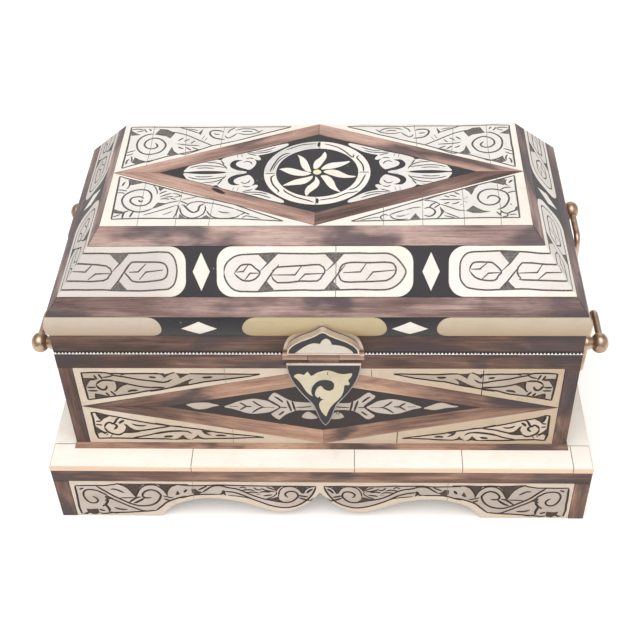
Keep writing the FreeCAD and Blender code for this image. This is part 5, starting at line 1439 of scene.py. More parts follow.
def cart_left(p):
    W = 0.92
    border = [(-150, 35.2), (-127, 35.3), (-100, 35.5), (-83, 36.0), (-79.4, 35.5), (-77.0, 32.8), (-76.0, 28.6),
            (-75.9, 24.0), (-77.0, 19.4), (-79.4, 16.6), (-84.0, 15.3), (-104, 14.9), (-130, 15.4), (-150, 15.4)]
    p.stain(curve(border, 6))
    p.line(border, W)
    crossing(p, -107.6, W, 35.3, 15.1)
    p.line([(-105.2, 25.2), (-101.4, 29.6), (-99.0, 30.5), (-91, 30.5), (-84.4, 30.3), (-81.9, 28.8), (-81.1, 26.0),
            (-81.8, 22.9), (-84.2, 21.0), (-90.0, 20.2), (-99.4, 19.9), (-102.6, 22.4), (-105.2, 25.2)], W)
    zigzag(p, (-102.2, 24.8), (-97.2, 25.2), (-93.0, 29.6), W)
    zigzag(p, (-96.6, 21.0), (-93.0, 25.2), (-83.6, 26.4), W)
    p.line([(-150, 30.0), (-128, 29.6), (-115.2, 28.6), (-112.2, 25.3), (-113.6, 23.0), (-116.6, 20.3), (-132, 20.2),
            (-150, 20.2)], W, 2)
    zigzag(p, (-134.0, 25.3), (-126.6, 25.3), (-123.0, 29.0), W)
    zigzag(p, (-125.2, 21.0), (-121.0, 24.2), (-113.2, 24.4), W)


def cart_right(p):
    W = 0.92
    border = [(150, 34.8), (127, 35.1), (115, 35.8), (98, 36.3), (86, 36.0), (81.6, 34.2), (79.4, 30.4), (79.0, 25.0),
            (79.4, 21.2), (81.4, 18.0), (84.6, 16.0), (95, 15.3), (110, 15.6), (130, 15.0), (150, 15.0)]
    p.stain(curve(border, 6))
    p.line(border, W)
    crossing(p, 106.0, W, 35.9, 15.4)
    p.line([(84.2, 25.4), (85.0, 28.2), (87.6, 30.3), (95.0, 30.2), (97.6, 29.4), (101.6, 25.4), (100.2, 23.0),
            (98.0, 20.5), (91.2, 20.7), (87.0, 22.2), (84.2, 25.4)], W)
    zigzag(p, (85.2, 26.4), (90.0, 26.5), (94.2, 29.9), W)
    zigzag(p, (91.0, 20.9), (94.8, 24.3), (101.2, 24.6), W)
    p.line([(150, 28.4), (129.5, 28.8), (124, 29.3), (112.8, 30.0), (110.0, 25.0), (112.0, 21.6), (113.2, 20.6),
            (135, 20.1), (150, 20.0)], W, 2)
    zigzag(p, (110.4, 24.5), (121.0, 24.6), (124.0, 29.0), W)
    zigzag(p, (121.6, 20.7), (126.0, 24.4), (136.0, 24.7), W)


def cart_centre(p):
    W = 0.92
    border = [(-49.9, 25.0), (-49.3, 28.4), (-47.6, 31.2), (-44.8, 33.4), (-41.6, 34.5), (-37.0, 34.8), (-20, 35.2), (10, 35.2),
            (30.0, 35.4), (36.0, 35.4), (39.8, 35.1), (42.8, 33.9), (45.8, 31.4), (48.4, 28.2), (49.7, 25.6), (48.7, 22.6),
            (46.0, 19.0), (42.8, 16.6), (39.4, 15.5), (35.0, 15.3), (12, 15.3), (-10, 15.0), (-36.0, 14.4), (-42.4, 14.7),
            (-45.6, 16.2), (-48.0, 18.9), (-49.5, 22.0), (-49.9, 25.0)]
    p.stain(curve(border, 6))
    p.line(border, W)
    crossing(p, -25.8, W, 34.9, 14.8)
    crossing(p, 10.6, W, 35.2, 15.2)
    p.line([(-44.4, 24.4), (-42.2, 27.0), (-40.0, 28.8), (-35.2, 29.0), (-32.4, 27.0), (-30.0, 24.8), (-32.0, 22.0),
            (-35.2, 20.3), (-39.2, 20.2), (-42.2, 22.0), (-44.4, 24.4)], W)
    zigzag(p, (-43.2, 25.0), (-39.4, 25.2), (-36.4, 28.8), W)
    zigzag(p, (-38.6, 20.6), (-35.6, 24.2), (-30.8, 24.5), W)
    p.line([(-23.8, 23.4), (-20.4, 27.8), (-5.0, 28.6), (2.8, 29.0), (5.8, 25.8), (4.2, 23.0), (1.4, 20.2), (-8.0, 19.9),
            (-20.4, 19.2), (-23.8, 23.4)], W, 2)
    zigzag(p, (-23.2, 23.5), (-11.0, 23.5), (-7.2, 28.2), W)
    zigzag(p, (-9.2, 20.0), (-5.4, 23.7), (5.2, 24.2), W)
    p.line([(12.6, 24.5), (16.6, 29.8), (30.0, 30.3), (41.0, 30.0), (43.8, 28.2), (44.3, 25.8), (43.0, 23.0), (40.2, 20.8),
            (36.0, 20.0), (16.6, 19.8), (12.6, 24.5)], W)
    zigzag(p, (15.4, 24.9), (25.0, 25.1), (28.4, 29.8), W)
    zigzag(p, (28.0, 20.4), (32.0, 25.0), (43.8, 26.0), W)
    p.joint([(11.5, 39.2), (11.6, 30), (11.5, 11.4)], 0.42)


def cartouche(u0, u1, r0, r1, rad=9.0):
    s0, s1 = S_LO, S_HI
    p = arc(u0 + rad, s0 + rad, rad, 270, 180, 10) + arc(u0 + rad, s1 - rad, rad, 180, 90, 10) if r0 else [(u0, s0), (u0, s1)]
    q = arc(u1 - rad, s1 - rad, rad, 90, 0, 10) + arc(u1 - rad, s0 + rad, rad, 0, -90, 10) if r1 else [(u1, s1), (u1, s0)]
    return p + q


carts = Plates("slope_cartouches_cut", "lid", ["slope_cartouches"], "bone")
r_at = lambda s: CASE_HY - s * CR
seed = 0
for side in ("front", "back", "left", "right"):
    long_side = side in ("front", "back")
    hp = (lambda s: r_at(s) + DIFF) if long_side else r_at
    m = 1 if side == "front" else -1
    if long_side:
        spans = ((None, -70.8, cart_left), (-54.0, 54.0, cart_centre), (73.0, None, cart_right))
    else:
        spans = ((None, -9.0, cart_left), (9.0, None, cart_right))
    for u0, u1, draw in spans:
        seed += 1
        if u0 is None:
            full = cartouche(-200, u1, False, True)
            out = [(-hp(S_LO), S_LO), (-hp(S_HI), S_HI)] + full[2:]
            sh = 0.0 if long_side else u1 + 70.8
        elif u1 is None:
            full = cartouche(u0, 200, True, False)
            out = full[:-2] + [(hp(S_HI), S_HI), (hp(S_LO), S_LO)]
            sh = 0.0 if long_side else u0 - 73.0
        else:
            out, sh = cartouche(u0, u1, True, True), 0.0
        wob = wobble(100 + seed, 0.15)
        if side == "back":
            out = [(-u, v) for u, v in out]
            pen = Pen(lambda u, v, wob=wob: wob(-u, v))
        else:
            pen = Pen(lambda u, v, wob=wob, sh=sh: wob(u + sh, v))
        draw(pen)
        carts.add(out, pen.shapes, slope_map(side), depth=0.22, cuts=([11.5 * m] if draw is cart_centre else []),
                  seed=120 + seed)
carts.make([M_BONE_CART, M_INK, M_JOINT, M_GROUND_TOP, M_BONE_SLOPE])


# ------------------------------------------------------------------ ornament: corner triangles of the case faces
CASE_UPPER = (
    ("P", 1.1, ((-136.9, 114.4), (-136.9, 107.5), (-136.6, 100.4), (-136.4, 91.5))),
    ("P", 1.0, ((-137.2, 114.3), (-131.9, 114.7), (-127.5, 114.8), (-123.0, 114.6), (-120.9, 114.0), (-110.5, 113.8),
              (-100.8, 114.0), (-88.6, 113.7))),
    ("P", 1.0, ((-136.4, 91.5), (-131.0, 92.6), (-124.0, 94.0), (-116.1, 95.5), (-108.3, 97.1), (-100.5, 99.2),
              (-90.1, 101.1))),
    ("D", 1.0, ((-136.9, 109.5), (-129.8, 109.5), (-129.1, 108.3), (-132.7, 108.0), (-134.6, 105.0), (-135.9, 102.0),
              (-136.6, 101.5), (-136.9, 106.4))),
    ("D", 1.0, ((-131.2, 96.9), (-129.4, 96.7), (-125.6, 95.4), (-121.6, 94.3), (-126.3, 93.5), (-131.4, 92.5))),
    ("D", 1.0, ((-118.6, 107.9), (-115.6, 106.7), (-110.4, 105.1), (-113.8, 103.6), (-116.4, 101.5), (-117.9, 99.7),
              (-118.9, 98.7), (-117.9, 101.0), (-117.4, 103.7), (-117.7, 106.2))),
    ("L", 1.0, ((-136.9, 109.7), (-133.2, 109.5), (-129.2, 109.5))),
    ("L", 1.1, ((-129.9, 112.6), (-129.2, 110.7), (-128.5, 108.7))),
    ("L", 1.1, ((-127.1, 113.4), (-126.3, 111.5), (-125.3, 109.2))),
    ("L", 0.9, ((-125.0, 110.5), (-121.7, 111.2), (-118.7, 112.2))),
    ("L", 1.0, ((-121.3, 114.0), (-118.1, 112.4), (-112.0, 111.0), (-103.7, 108.9), (-95.6, 107.6), (-89.5, 106.6))),
    ("L", 0.8, ((-114.4, 112.5), (-112.4, 113.3), (-110.3, 113.8))),
    ("L", 1.2, ((-135.5, 102.2), (-132.9, 102.1), (-130.2, 102.3))),
    ("L", 1.1, ((-135.3, 99.3), (-132.2, 99.3), (-129.4, 99.4))),
    ("L", 1.2, ((-129.7, 104.7), (-127.8, 106.9), (-125.5, 108.1), (-122.1, 108.3), (-119.2, 107.7), (-118.2, 107.3))),
    ("L", 1.3, ((-129.9, 104.5), (-128.8, 102.0), (-127.1, 100.3), (-125.2, 100.4), (-124.0, 101.8), (-123.6, 103.8))),
    ("L", 1.0, ((-118.2, 107.3), (-117.5, 104.8), (-117.6, 102.1), (-118.4, 99.9), (-119.9, 98.5))),
    ("L", 1.1, ((-125.1, 97.8), (-124.2, 96.3), (-123.1, 95.0))),
    ("L", 1.1, ((-122.1, 99.1), (-121.0, 97.5), (-119.3, 95.2))),
    ("L", 1.0, ((-118.1, 107.5), (-115.6, 106.7), (-110.6, 105.1), (-105.6, 103.5), (-100.1, 102.4), (-90.0, 101.9))),
    ("L", 1.4, ((-111.9, 98.5), (-109.5, 99.6), (-105.7, 99.9))),
    ("L", 1.3, ((-97.8, 111.2), (-96.0, 110.8), (-93.8, 110.6))),
    ("L", 1.0, ((-131.1, 97.1), (-131.5, 94.9), (-131.6, 92.7))),
    ("P", 1.0, ((-96.8, 114.0), (-92.6, 114.2))),
    ("D", 1.0, ((-92.6, 114.4), (-90.8, 114.2), (-89.4, 113.6), (-87.7, 113.8), (-85.6, 114.1), (-84.4, 114.8),
              (-82.7, 115.2), (-81.9, 114.4), (-84.2, 113.7), (-86.1, 112.7), (-87.6, 111.6), (-88.5, 110.3),
              (-89.2, 110.6), (-89.9, 112.2), (-91.3, 113.4))),
    ("D", 1.0, ((-82.2, 114.6), (-79.3, 114.1), (-73.0, 113.9), (-76.2, 112.3), (-78.6, 110.7), (-79.8, 109.8),
              (-80.1, 111.1), (-80.9, 113.1))),
    ("P", 1.0, ((-73.8, 113.9), (-63.4, 113.7), (-53.8, 113.7), (-44.9, 113.6), (-38.7, 113.6))),
    ("L", 1.0, ((-97.5, 108.1), (-94.3, 107.2), (-90.6, 106.6), (-87.5, 107.2), (-85.9, 108.3), (-84.5, 109.2))),
    ("L", 1.1, ((-98.3, 102.3), (-93.7, 102.3), (-89.6, 102.2))),
    ("D", 1.0, ((-89.6, 100.9), (-85.8, 102.9), (-81.4, 105.1), (-77.4, 107.5), (-73.9, 109.3), (-71.6, 109.4),
              (-73.6, 108.3), (-74.9, 106.9), (-75.3, 104.9), (-74.0, 104.6), (-79.4, 103.3), (-84.0, 102.2),
              (-87.1, 101.3))),
    ("P", 1.0, ((-98.7, 98.9), (-92.9, 100.1), (-88.6, 101.4), (-83.2, 102.9), (-73.9, 104.9), (-65.9, 107.1),
              (-53.4, 109.3), (-45.1, 110.7), (-38.8, 111.9))),
    ("L", 1.4, ((-66.7, 110.7), (-63.7, 110.8), (-60.7, 111.3))),
    ("J", 1.0, ((-53.3, 119.2), (-53.3, 110.8), (-53.2, 103.8))),
    ("P", 1.0, ((-38.8, 113.6), (-33.0, 113.7))),
    ("P", 1.0, ((-38.9, 111.9), (-33.0, 113.5))),
)
CASE_LOWER = (
    ("P", 1.2, ((-136.6, 80.3), (-136.3, 75.3), (-136.5, 68.9), (-136.6, 61.8), (-135.8, 56.6))),
    ("P", 1.0, ((-136.9, 80.2), (-133.6, 80.2), (-128.2, 78.1), (-120.0, 75.9), (-111.0, 73.1), (-101.5, 70.6),
              (-90.3, 68.4), (-83.1, 67.8))),
    ("P", 1.1, ((-135.8, 56.7), (-128.0, 57.1), (-115.9, 56.8), (-104.6, 56.6), (-94.7, 56.3))),
    ("D", 1.0, ((-134.0, 80.4), (-128.2, 78.1), (-126.3, 76.7), (-129.8, 74.7), (-131.5, 72.6), (-132.3, 74.8),
              (-133.1, 77.8))),
    ("D", 1.0, ((-135.6, 67.9), (-133.8, 65.4), (-131.8, 63.2), (-130.2, 62.4), (-131.4, 61.0), (-133.5, 62.3),
              (-135.6, 60.8), (-136.0, 63.7))),
    ("D", 1.0, ((-117.0, 70.0), (-114.9, 67.0), (-112.2, 64.7), (-107.5, 64.0), (-112.5, 62.5), (-118.7, 61.6),
              (-121.8, 60.7), (-119.1, 63.2), (-117.7, 66.1))),
    ("L", 1.3, ((-133.9, 79.6), (-132.9, 76.9), (-131.6, 73.3))),
    ("L", 1.0, ((-135.1, 72.2), (-133.4, 72.4), (-131.6, 72.7))),
    ("L", 1.0, ((-135.4, 69.5), (-133.4, 69.2), (-131.6, 68.8))),
    ("L", 1.2, ((-130.7, 67.0), (-129.0, 70.1), (-126.7, 71.4), (-125.1, 70.1), (-123.5, 71.6), (-122.0, 74.2),
              (-119.9, 75.9))),
    ("L", 1.2, ((-130.6, 67.0), (-129.9, 64.4), (-128.5, 62.4), (-125.7, 60.7), (-122.3, 60.3), (-119.2, 62.2))),
    ("L", 1.3, ((-124.7, 69.9), (-123.2, 69.0), (-123.2, 67.0), (-125.1, 65.0))),
    ("L", 1.5, ((-121.3, 70.4), (-119.7, 72.0), (-117.7, 73.3))),
    ("L", 1.1, ((-118.2, 70.3), (-116.2, 67.0), (-113.5, 64.8), (-109.7, 63.9), (-104.4, 64.8), (-96.9, 66.6),
              (-90.3, 68.0))),
    ("L", 1.1, ((-113.6, 70.3), (-111.2, 69.0), (-108.2, 68.4), (-104.6, 68.7))),
    ("L", 0.9, ((-119.2, 62.0), (-112.5, 62.5), (-107.6, 63.9))),
    ("L", 1.0, ((-115.0, 57.1), (-110.5, 58.3), (-104.2, 60.0), (-97.4, 62.3), (-90.8, 63.6), (-83.5, 64.2))),
    ("L", 1.4, ((-95.1, 58.5), (-92.7, 58.7), (-89.8, 59.1))),
    ("L", 0.9, ((-133.6, 62.3), (-132.0, 62.1), (-131.2, 61.2), (-129.7, 62.6))),
    ("L", 1.2, ((-130.6, 59.4), (-129.2, 61.7))),
    ("L", 1.2, ((-128.1, 58.1), (-126.2, 61.3))),
    ("P", 1.0, ((-99.2, 70.9), (-90.6, 68.5), (-82.2, 67.2), (-71.9, 65.3), (-63.1, 62.9), (-52.0, 60.9), (-40.4, 59.4))),
    ("P", 1.0, ((-101.0, 56.6), (-95.1, 56.5), (-89.7, 56.0))),
    ("D", 1.0, ((-90.4, 56.2), (-87.2, 56.7), (-85.1, 58.5), (-83.3, 60.3), (-82.3, 58.4), (-80.6, 56.6), (-78.5, 55.4),
              (-83.4, 56.0), (-88.2, 55.4))),
    ("D", 1.0, ((-78.7, 55.4), (-76.9, 57.5), (-75.2, 59.0), (-74.1, 60.6), (-73.3, 58.7), (-71.1, 57.4), (-68.0, 56.9),
              (-68.4, 56.0), (-71.2, 56.2), (-74.3, 56.8), (-76.6, 56.7))),
    ("P", 1.0, ((-69.6, 56.6), (-61.7, 57.0), (-52.3, 57.2), (-40.5, 58.0))),
    ("L", 1.0, ((-100.5, 60.8), (-96.4, 62.0), (-90.4, 63.2), (-83.7, 63.7), (-80.6, 63.4), (-79.0, 62.5), (-77.7, 61.3))),
    ("L", 1.4, ((-95.3, 58.4), (-92.1, 58.6), (-89.5, 59.1))),
    ("D", 1.0, ((-72.0, 65.4), (-70.4, 64.5), (-64.6, 63.4), (-65.9, 62.8), (-68.6, 62.4), (-65.6, 59.6), (-67.3, 59.9),
              (-69.9, 61.0), (-71.0, 62.6))),
    ("L", 1.3, ((-63.4, 59.5), (-60.3, 59.9), (-56.8, 59.3))),
    ("J", 1.0, ((-52.4, 67.1), (-52.6, 57.1), (-53.7, 47.5))),
    ("P", 1.0, ((-40.4, 59.4), (-34.0, 58.2))),
    ("P", 1.0, ((-40.5, 58.0), (-34.0, 58.1))),
)


FIELD_UPPER = ((-136.9, 114.4), (-127.5, 114.8), (-120.9, 114.0), (-100.8, 114.0), (-88.6, 113.7), (-73.8, 113.9),
               (-53.8, 113.7), (-33.0, 113.6), (-38.8, 111.9), (-53.4, 109.3), (-73.9, 104.9), (-90.1, 101.1),
               (-108.3, 97.1), (-124.0, 94.0), (-136.4, 91.5))
FIELD_LOWER = ((-136.6, 80.3), (-133.6, 80.2), (-128.2, 78.1), (-120.0, 75.9), (-111.0, 73.1), (-101.5, 70.6),
               (-90.6, 68.5), (-82.2, 67.2), (-71.9, 65.3), (-63.1, 62.9), (-52.0, 60.9), (-40.4, 59.4),
               (-34.0, 58.2), (-40.5, 58.0), (-52.3, 57.2), (-69.6, 56.6), (-89.7, 56.0), (-104.6, 56.6),
               (-128.0, 57.1), (-135.8, 56.6), (-136.6, 61.8), (-136.3, 75.3))


def case_tri_move(su, sv, hu, cx, wob, small):
    """Places the drawing of a left triangle in the triangle at that corner."""
    length = hu - cx if su > 0 else hu + cx

    def f(u, v):
        d = u + 141.5                    # distance from the short side
        t = CV - sv * (v - CZ)           # distance from the straight edge
        room0 = CV * (1 - d / 144.1)
        e = 0.8 * d if small else d * length / 144.1
        room1 = CV * (1 - e / length)
        t = t * (room1 / room0 if room0 > 1 else 1.0)
        return wob(su * (hu - e), CZ + sv * (CV - t))
    return f


def case_plates(name, nodes, sides, hu, cx_of, small):
    pl = Plates(name, "case", nodes, "bone")
    k = 0
    for side in sides:
        cx = cx_of(side)
        for su in (-1, 1):
            for sv in (-1, 1):
                k += 1
                out = [(su * hu, CZ), (cx, CZ + sv * CV), (su * hu, CZ + sv * CV)]
                amp = 0.0 if side == "front" and su < 0 else 0.25
                lay = case_tri_move(su, sv, hu, cx, wobble(200 + 7 * k + len(name), amp), small)
                if side == "front" and su > 0:
                    ku, kv = (0.93, 0.97) if sv > 0 else (0.875, 0.95)
                    pen = Pen(lambda u, v, lay=lay, ku=ku, kv=kv, sv=sv: (
                        hu + (lay(u, v)[0] - hu) * ku, CZ + sv * CV + (lay(u, v)[1] - CZ - sv * CV) * kv))
                else:
                    pen = Pen(lay)
                rows = CASE_UPPER if sv > 0 else CASE_LOWER
                if not small:
                    pen.stain(FIELD_UPPER if sv > 0 else FIELD_LOWER)
                else:
                    pen.shapes.append((inset(out, 2.6), 4))
                if small:
                    engrave(pen, rows, 0.85, lambda kind, pts: kind in "LD" and max(q[0] for q in pts) < -70.0)
                    pen.move = lambda u, v: (u, v)
                    loop = inset(out, 2.6)
                    pen.poly(loop + [loop[0]], 0.8, 1.0)
                    cuts = []
                else:
                    own = side == "front" and su > 0
                    engrave(pen, rows, 1.2, (lambda kind, pts: kind != "J") if own else None)
                    if own:
                        pen.move = lambda u, v: (u, v)
                        for x, w in (((31.4, 0.34), (95.4, 0.55)) if sv > 0 else ((47.2, 0.55),)):
                            pen.line([(x, CZ), (x + 0.2, CZ + sv * CV * 0.6), (x, CZ + sv * CV)], w)
                    cuts = [su * (hu - (88.0 if su < 0 or side == "back" else (46.0 if sv > 0 else 94.0)))]
                    if side == "front" and su > 0 and sv > 0:
                        cuts.append(31.4)
                pl.add(out, pen.shapes, wall_map(side, CASE_HX, CASE_HY), depth=0.26, cuts=cuts, seed=220 + k)
    return pl.make([M_BONE_EDGE, M_INK_BROWN, M_JOINT, M_GROUND, M_BONE_CASE])


case_plates("case_bone_corners_cut", ["case_bone_corners"], ("front", "back"), CASE_HX - 8.5,
            lambda s: FRONT_CX if s == "front" else -FRONT_CX, False)
case_plates("side_bone_corners_cut", ["side_bone_corners"], ("left", "right"), CASE_HY - 8.5, lambda s: 0.0, True)

# sprigs
LEAF = [(-81.0, 1.7), (-75.8, 3.2), (-68.7, 3.5), (-64.6, 2.3), (-61.5, 1.0), (-65.4, -0.2),
        (-69.2, -1.8), (-73.4, -2.5), (-76.9, -1.6), (-79.1, -0.1)]
LAUREL = [(-58.6, -0.2), (-54.5, 2.2), (-50.2, 4.4), (-45.3, 6.1), (-40.5, 6.9), (-35.9, 6.1),
          (-32.3, 4.9), (-28.5, 1.9), (-26.0, -0.3), (-28.1, -2.4), (-31.6, -4.6), (-36.6, -5.7), (-41.4, -6.2),
          (-46.2, -5.3), (-49.6, -3.7), (-53.7, -1.9)]
BUNDLE = [(-31.8, 7.0), (-31.0, 8.8), (-29.0, 11.7), (-27.3, 12.0), (-25.0, 10.2), (-21.6, 7.4),
          (-18.2, 5.2), (-14.7, 4.3), (-8.8, 3.8), (-1.0, 3.8), (-1.0, -2.6), (-6.6, -2.9),
          (-11.4, -3.0), (-15.0, -3.1), (-18.6, -4.7), (-22.3, -7.0), (-24.8, -9.7),
          (-26.4, -11.3), (-29.0, -9.3), (-30.8, -6.6), (-30.2, -5.6), (-27.2, -3.0), (-24.9, -0.3), (-27.4, 2.9),
          (-31.0, 5.9)]
LEAF_R = [(-59.8, -0.9), (-63.6, 1.4), (-67.5, 3.4), (-70.8, 3.9), (-73.4, 3.0), (-76.2, 1.7), (-79.6, 1.1),
          (-79.9, 0.4), (-76.8, -0.2), (-73.2, -0.6), (-69.9, -1.6), (-66.0, -2.4), (-62.4, -1.8)]
BUNDLE_R = [(-1.0, 3.8), (-8.0, 3.6), (-15.2, 3.5), (-18.4, 5.0), (-21.8, 7.6), (-24.4, 10.4), (-26.6, 12.3), (-28.1, 12.2),
            (-29.2, 11.0), (-31.0, 9.8), (-30.6, 7.8), (-28.3, 5.3), (-25.8, 2.7), (-24.4, 0.3), (-25.8, -2.2),
            (-28.3, -4.9), (-30.9, -7.6), (-29.7, -9.5), (-27.5, -10.7), (-25.6, -10.3), (-23.7, -8.3), (-21.2, -5.5),
            (-17.9, -3.4), (-14.8, -2.8), (-11.0, -2.6), (-1.0, -2.6)]
BIT = [(-12.5, -9.2), (-10.9, -5.6), (-8.5, -4.3), (-5.8, -6.1), (-3.2, -9.6), (-7.5, -10.8)]


def leaf_lines(p, m):
    pass


def laurel_lines(p, m):
    W = 1.2
    for pts in ([(-55.2, 0.4), (-50.3, 0.4)], [(-49.0, 3.6), (-46.8, 1.9), (-45.2, 0.5)],
                [(-49.4, -2.7), (-47.4, -1.1), (-45.4, 0.3), (-42.0, 0.3)],
                [(-41.3, 5.2), (-38.8, 2.5), (-35.9, 0.2)], [(-42.2, -5.2), (-39.3, -2.5), (-36.0, -0.4), (-33.6, -0.3)],
                [(-33.6, -0.4), (-28.5, -0.4)]):
        p.line(pts, W)


def bundle_lines(p, m):
    W = 0.92
    for pts in ([(-28.2, 9.0), (-25.7, 6.9), (-23.3, 4.0)], [(-26.4, -7.3), (-24.6, -5.5), (-23.0, -3.8)],
                [(-21.0, 5.7), (-19.8, 1.1), (-18.6, -3.9)], [(-17.9, 5.3), (-17.2, 1.2), (-16.3, -3.5)]):
        p.line(pts, 1.35)
    for pts in ([(-25.2, -0.3), (-23.2, -0.4), (-21.0, -0.4)], [(-15.9, -0.4), (-11.3, -0.1), (-6.2, 0.5)]):
        p.line(pts, W)


def bit_lines(p, m):
    if m < 0:
        p.line([(-8.2, -6.5), (-8.6, -3.9), (-9.9, -4.8), (-9.0, -7.0)], 0.6)


def sprigs(name, nodes, black, sides, ku, kv, iu, cx_of):
    gr = Plates(black + "_cut", "case", [black], "black_ground")
    pl = Plates(name, "case", nodes, "bone")
    k = 0
    for side in sides:
        cx = cx_of(side)
        gr.add([(cx - iu, CZ), (cx, CZ - 20.6), (cx + iu, CZ), (cx, CZ + 20.6)], [],
               lambda u, v, w, side=side: wall_map(side, CASE_HX, CASE_HY)(u, v, w - 0.14), thick=1.86, gap=0.04, cham=0.05)
        for pair, lines, n in (((LEAF, LEAF_R), leaf_lines, 5), ((LAUREL, LAUREL), laurel_lines, 5),
                               ((BUNDLE, BUNDLE_R), bundle_lines, 5), ((BIT, BIT), bit_lines, 4)):
            for m, pts in zip((1, -1), pair):
                k += 1
                out = [(m * u * ku + cx, v * kv + CZ) for u, v in curve(pts, n, True)]
                pen = Pen(lambda u, v, m=m, cx=cx: (m * u * ku + cx, v * kv + CZ), 1.0 if ku == 1 else 0.62)
                lines(pen, m)
                pl.add(out, pen.shapes, wall_map(side, CASE_HX, CASE_HY), depth=0.24, gap=0.0, cham=0.16, seed=300 + k)
    gr.make([M_BLACK_CASE, M_INK_BROWN, M_JOINT, M_GROUND])
    return pl.make([M_BONE_SPRIG, M_INK_BROWN, M_JOINT, M_GROUND])


M_BONE_SPRIG = bone_material("bone_sprigs", (0.555, 0.485, 0.44), (0.50, 0.425, 0.36), (0.37, 0.30, 0.235))
sprigs("case_sprig_inlays_cut", ["case_sprig_inlays"], "case_black_lozenges", ("front", "back"), 1.0, 1.0, 93.5,
       lambda s: FRONT_CX if s == "front" else -FRONT_CX)
sprigs("side_sprig_inlays_cut", ["side_sprig_inlays"], "side_black_lozenges", ("left", "right"), 0.49, 0.8, 47.0,
       lambda s: 0.0)

# ------------------------------------------------------------------ hasp flap: black ground and cut bone leaf
HASP_X, FLAP_FACE = 4.2, 3.6
FLAP_SIDE = [(-21.2, 125.0), (-21.1, 122.0), (-20.2, 117.0), (-18.5, 111.4), (-15.9, 105.8), (-12.6, 99.9), (-9.4, 95.2),
             (-7.0, 91.2), (-5.4, 86.1), (-3.8, 80.3), (-2.1, 76.0), (0.0, 73.2)]
FLAP_LEAF = [(-17.3, 115.5), (-15.5, 117.3), (-13.3, 117.3), (-11.6, 116.5), (-10.4, 118.1), (-9.4, 119.1), (-8.4, 117.6),
             (-7.4, 115.9), (-5.9, 116.7), (-4.0, 118.3), (-1.2, 119.6), (1.8, 120.3), (4.8, 119.6), (7.2, 118.3),
             (9.7, 117.4), (12.4, 117.4), (14.6, 117.9), (16.0, 117.8), (15.9, 116.0), (15.1, 114.3), (13.9, 112.4),
             (14.1, 111.1), (14.6, 109.5), (14.0, 108.2), (12.6, 108.4), (11.5, 107.6), (11.3, 104.8), (10.6, 101.4),
             (9.2, 97.9), (6.9, 94.6), (4.6, 91.6), (2.8, 88.2), (1.5, 84.6), (0.6, 81.5), (-0.9, 83.2), (-2.3, 86.0),
             (-3.2, 89.2), (-3.4, 91.7), (-2.8, 94.0), (-1.7, 95.4), (-0.6, 96.2), (-2.0, 96.6), (-2.7, 97.9),
             (-3.0, 98.8), (-3.6, 97.8), (-4.5, 97.9), (-5.2, 99.1), (-5.6, 100.7), (-5.2, 103.1), (-4.3, 105.4),
             (-3.1, 107.0), (-1.9, 107.4), (-1.2, 106.5), (-0.2, 104.9), (1.5, 103.6), (3.3, 103.5), (4.9, 104.6),
             (5.6, 107.1), (5.4, 109.8), (4.1, 111.6), (1.9, 112.5), (-0.6, 112.6), (-3.1, 111.8), (-5.3, 109.7),
             (-6.9, 106.8), (-7.7, 103.5), (-7.5, 100.7), (-7.0, 98.9), (-8.4, 99.9), (-10.0, 101.9), (-11.4, 104.6),
             (-12.6, 107.6), (-14.1, 110.7), (-15.8, 113.4)]


def on_flap(base):
    return lambda u, v, w: wall_map("front", CASE_HX, CASE_HY)(u + HASP_X, v, base + w)


side_run = curve(FLAP_SIDE[1:], 3)
flap_edge = [FLAP_SIDE[0]] + side_run + [(-u, z) for u, z in side_run[-2::-1]] + [(21.2, 125.0)]
flap_ground = Plates("hasp_flap_ground_cut", "hasp_flap", ["hasp_flap_black"], "black_ground")
flap_ground.add(inset(flap_edge, 0.6), [], on_flap(FLAP_FACE - 0.25), thick=1.65, gap=0.0, cham=0.05)
flap_ground.make([M_BLACK, M_INK_BROWN, M_JOINT, M_GROUND])
flap_leaf = Plates("hasp_flap_leaf_cut", "hasp_flap", ["hasp_flap_bone"], "bone")
pen = Pen()
pen.line([(2.4, 119.6), (2.0, 117.8), (2.3, 116.4)], 0.4)
flap_leaf.add(curve(FLAP_LEAF, 3, True), pen.shapes, on_flap(FLAP_FACE), depth=0.1, thick=0.35, gap=0.0, cham=0.12)
flap_leaf.make([M_LEAF, M_INK_BROWN, M_JOINT, M_GROUND])


# ------------------------------------------------------------------ toothed metal strip in the seam
def prism(v, f, low, high, put, z0, z1):
    """Closed body between two outlines of the same length, given as (along, outward) points at heights z0 and z1."""
    m, k = len(low), len(v)
    v += [put(u, z0, w) for u, w in low] + [put(u, z1, w) for u, w in high]
    f.append(tuple(k + i for i in range(m))[::-1])
    f.append(tuple(k + m + i for i in range(m)))
    for i in range(m):
        j = (i + 1) % m
        f.append((k + i, k + j, k + m + j, k + m + i))


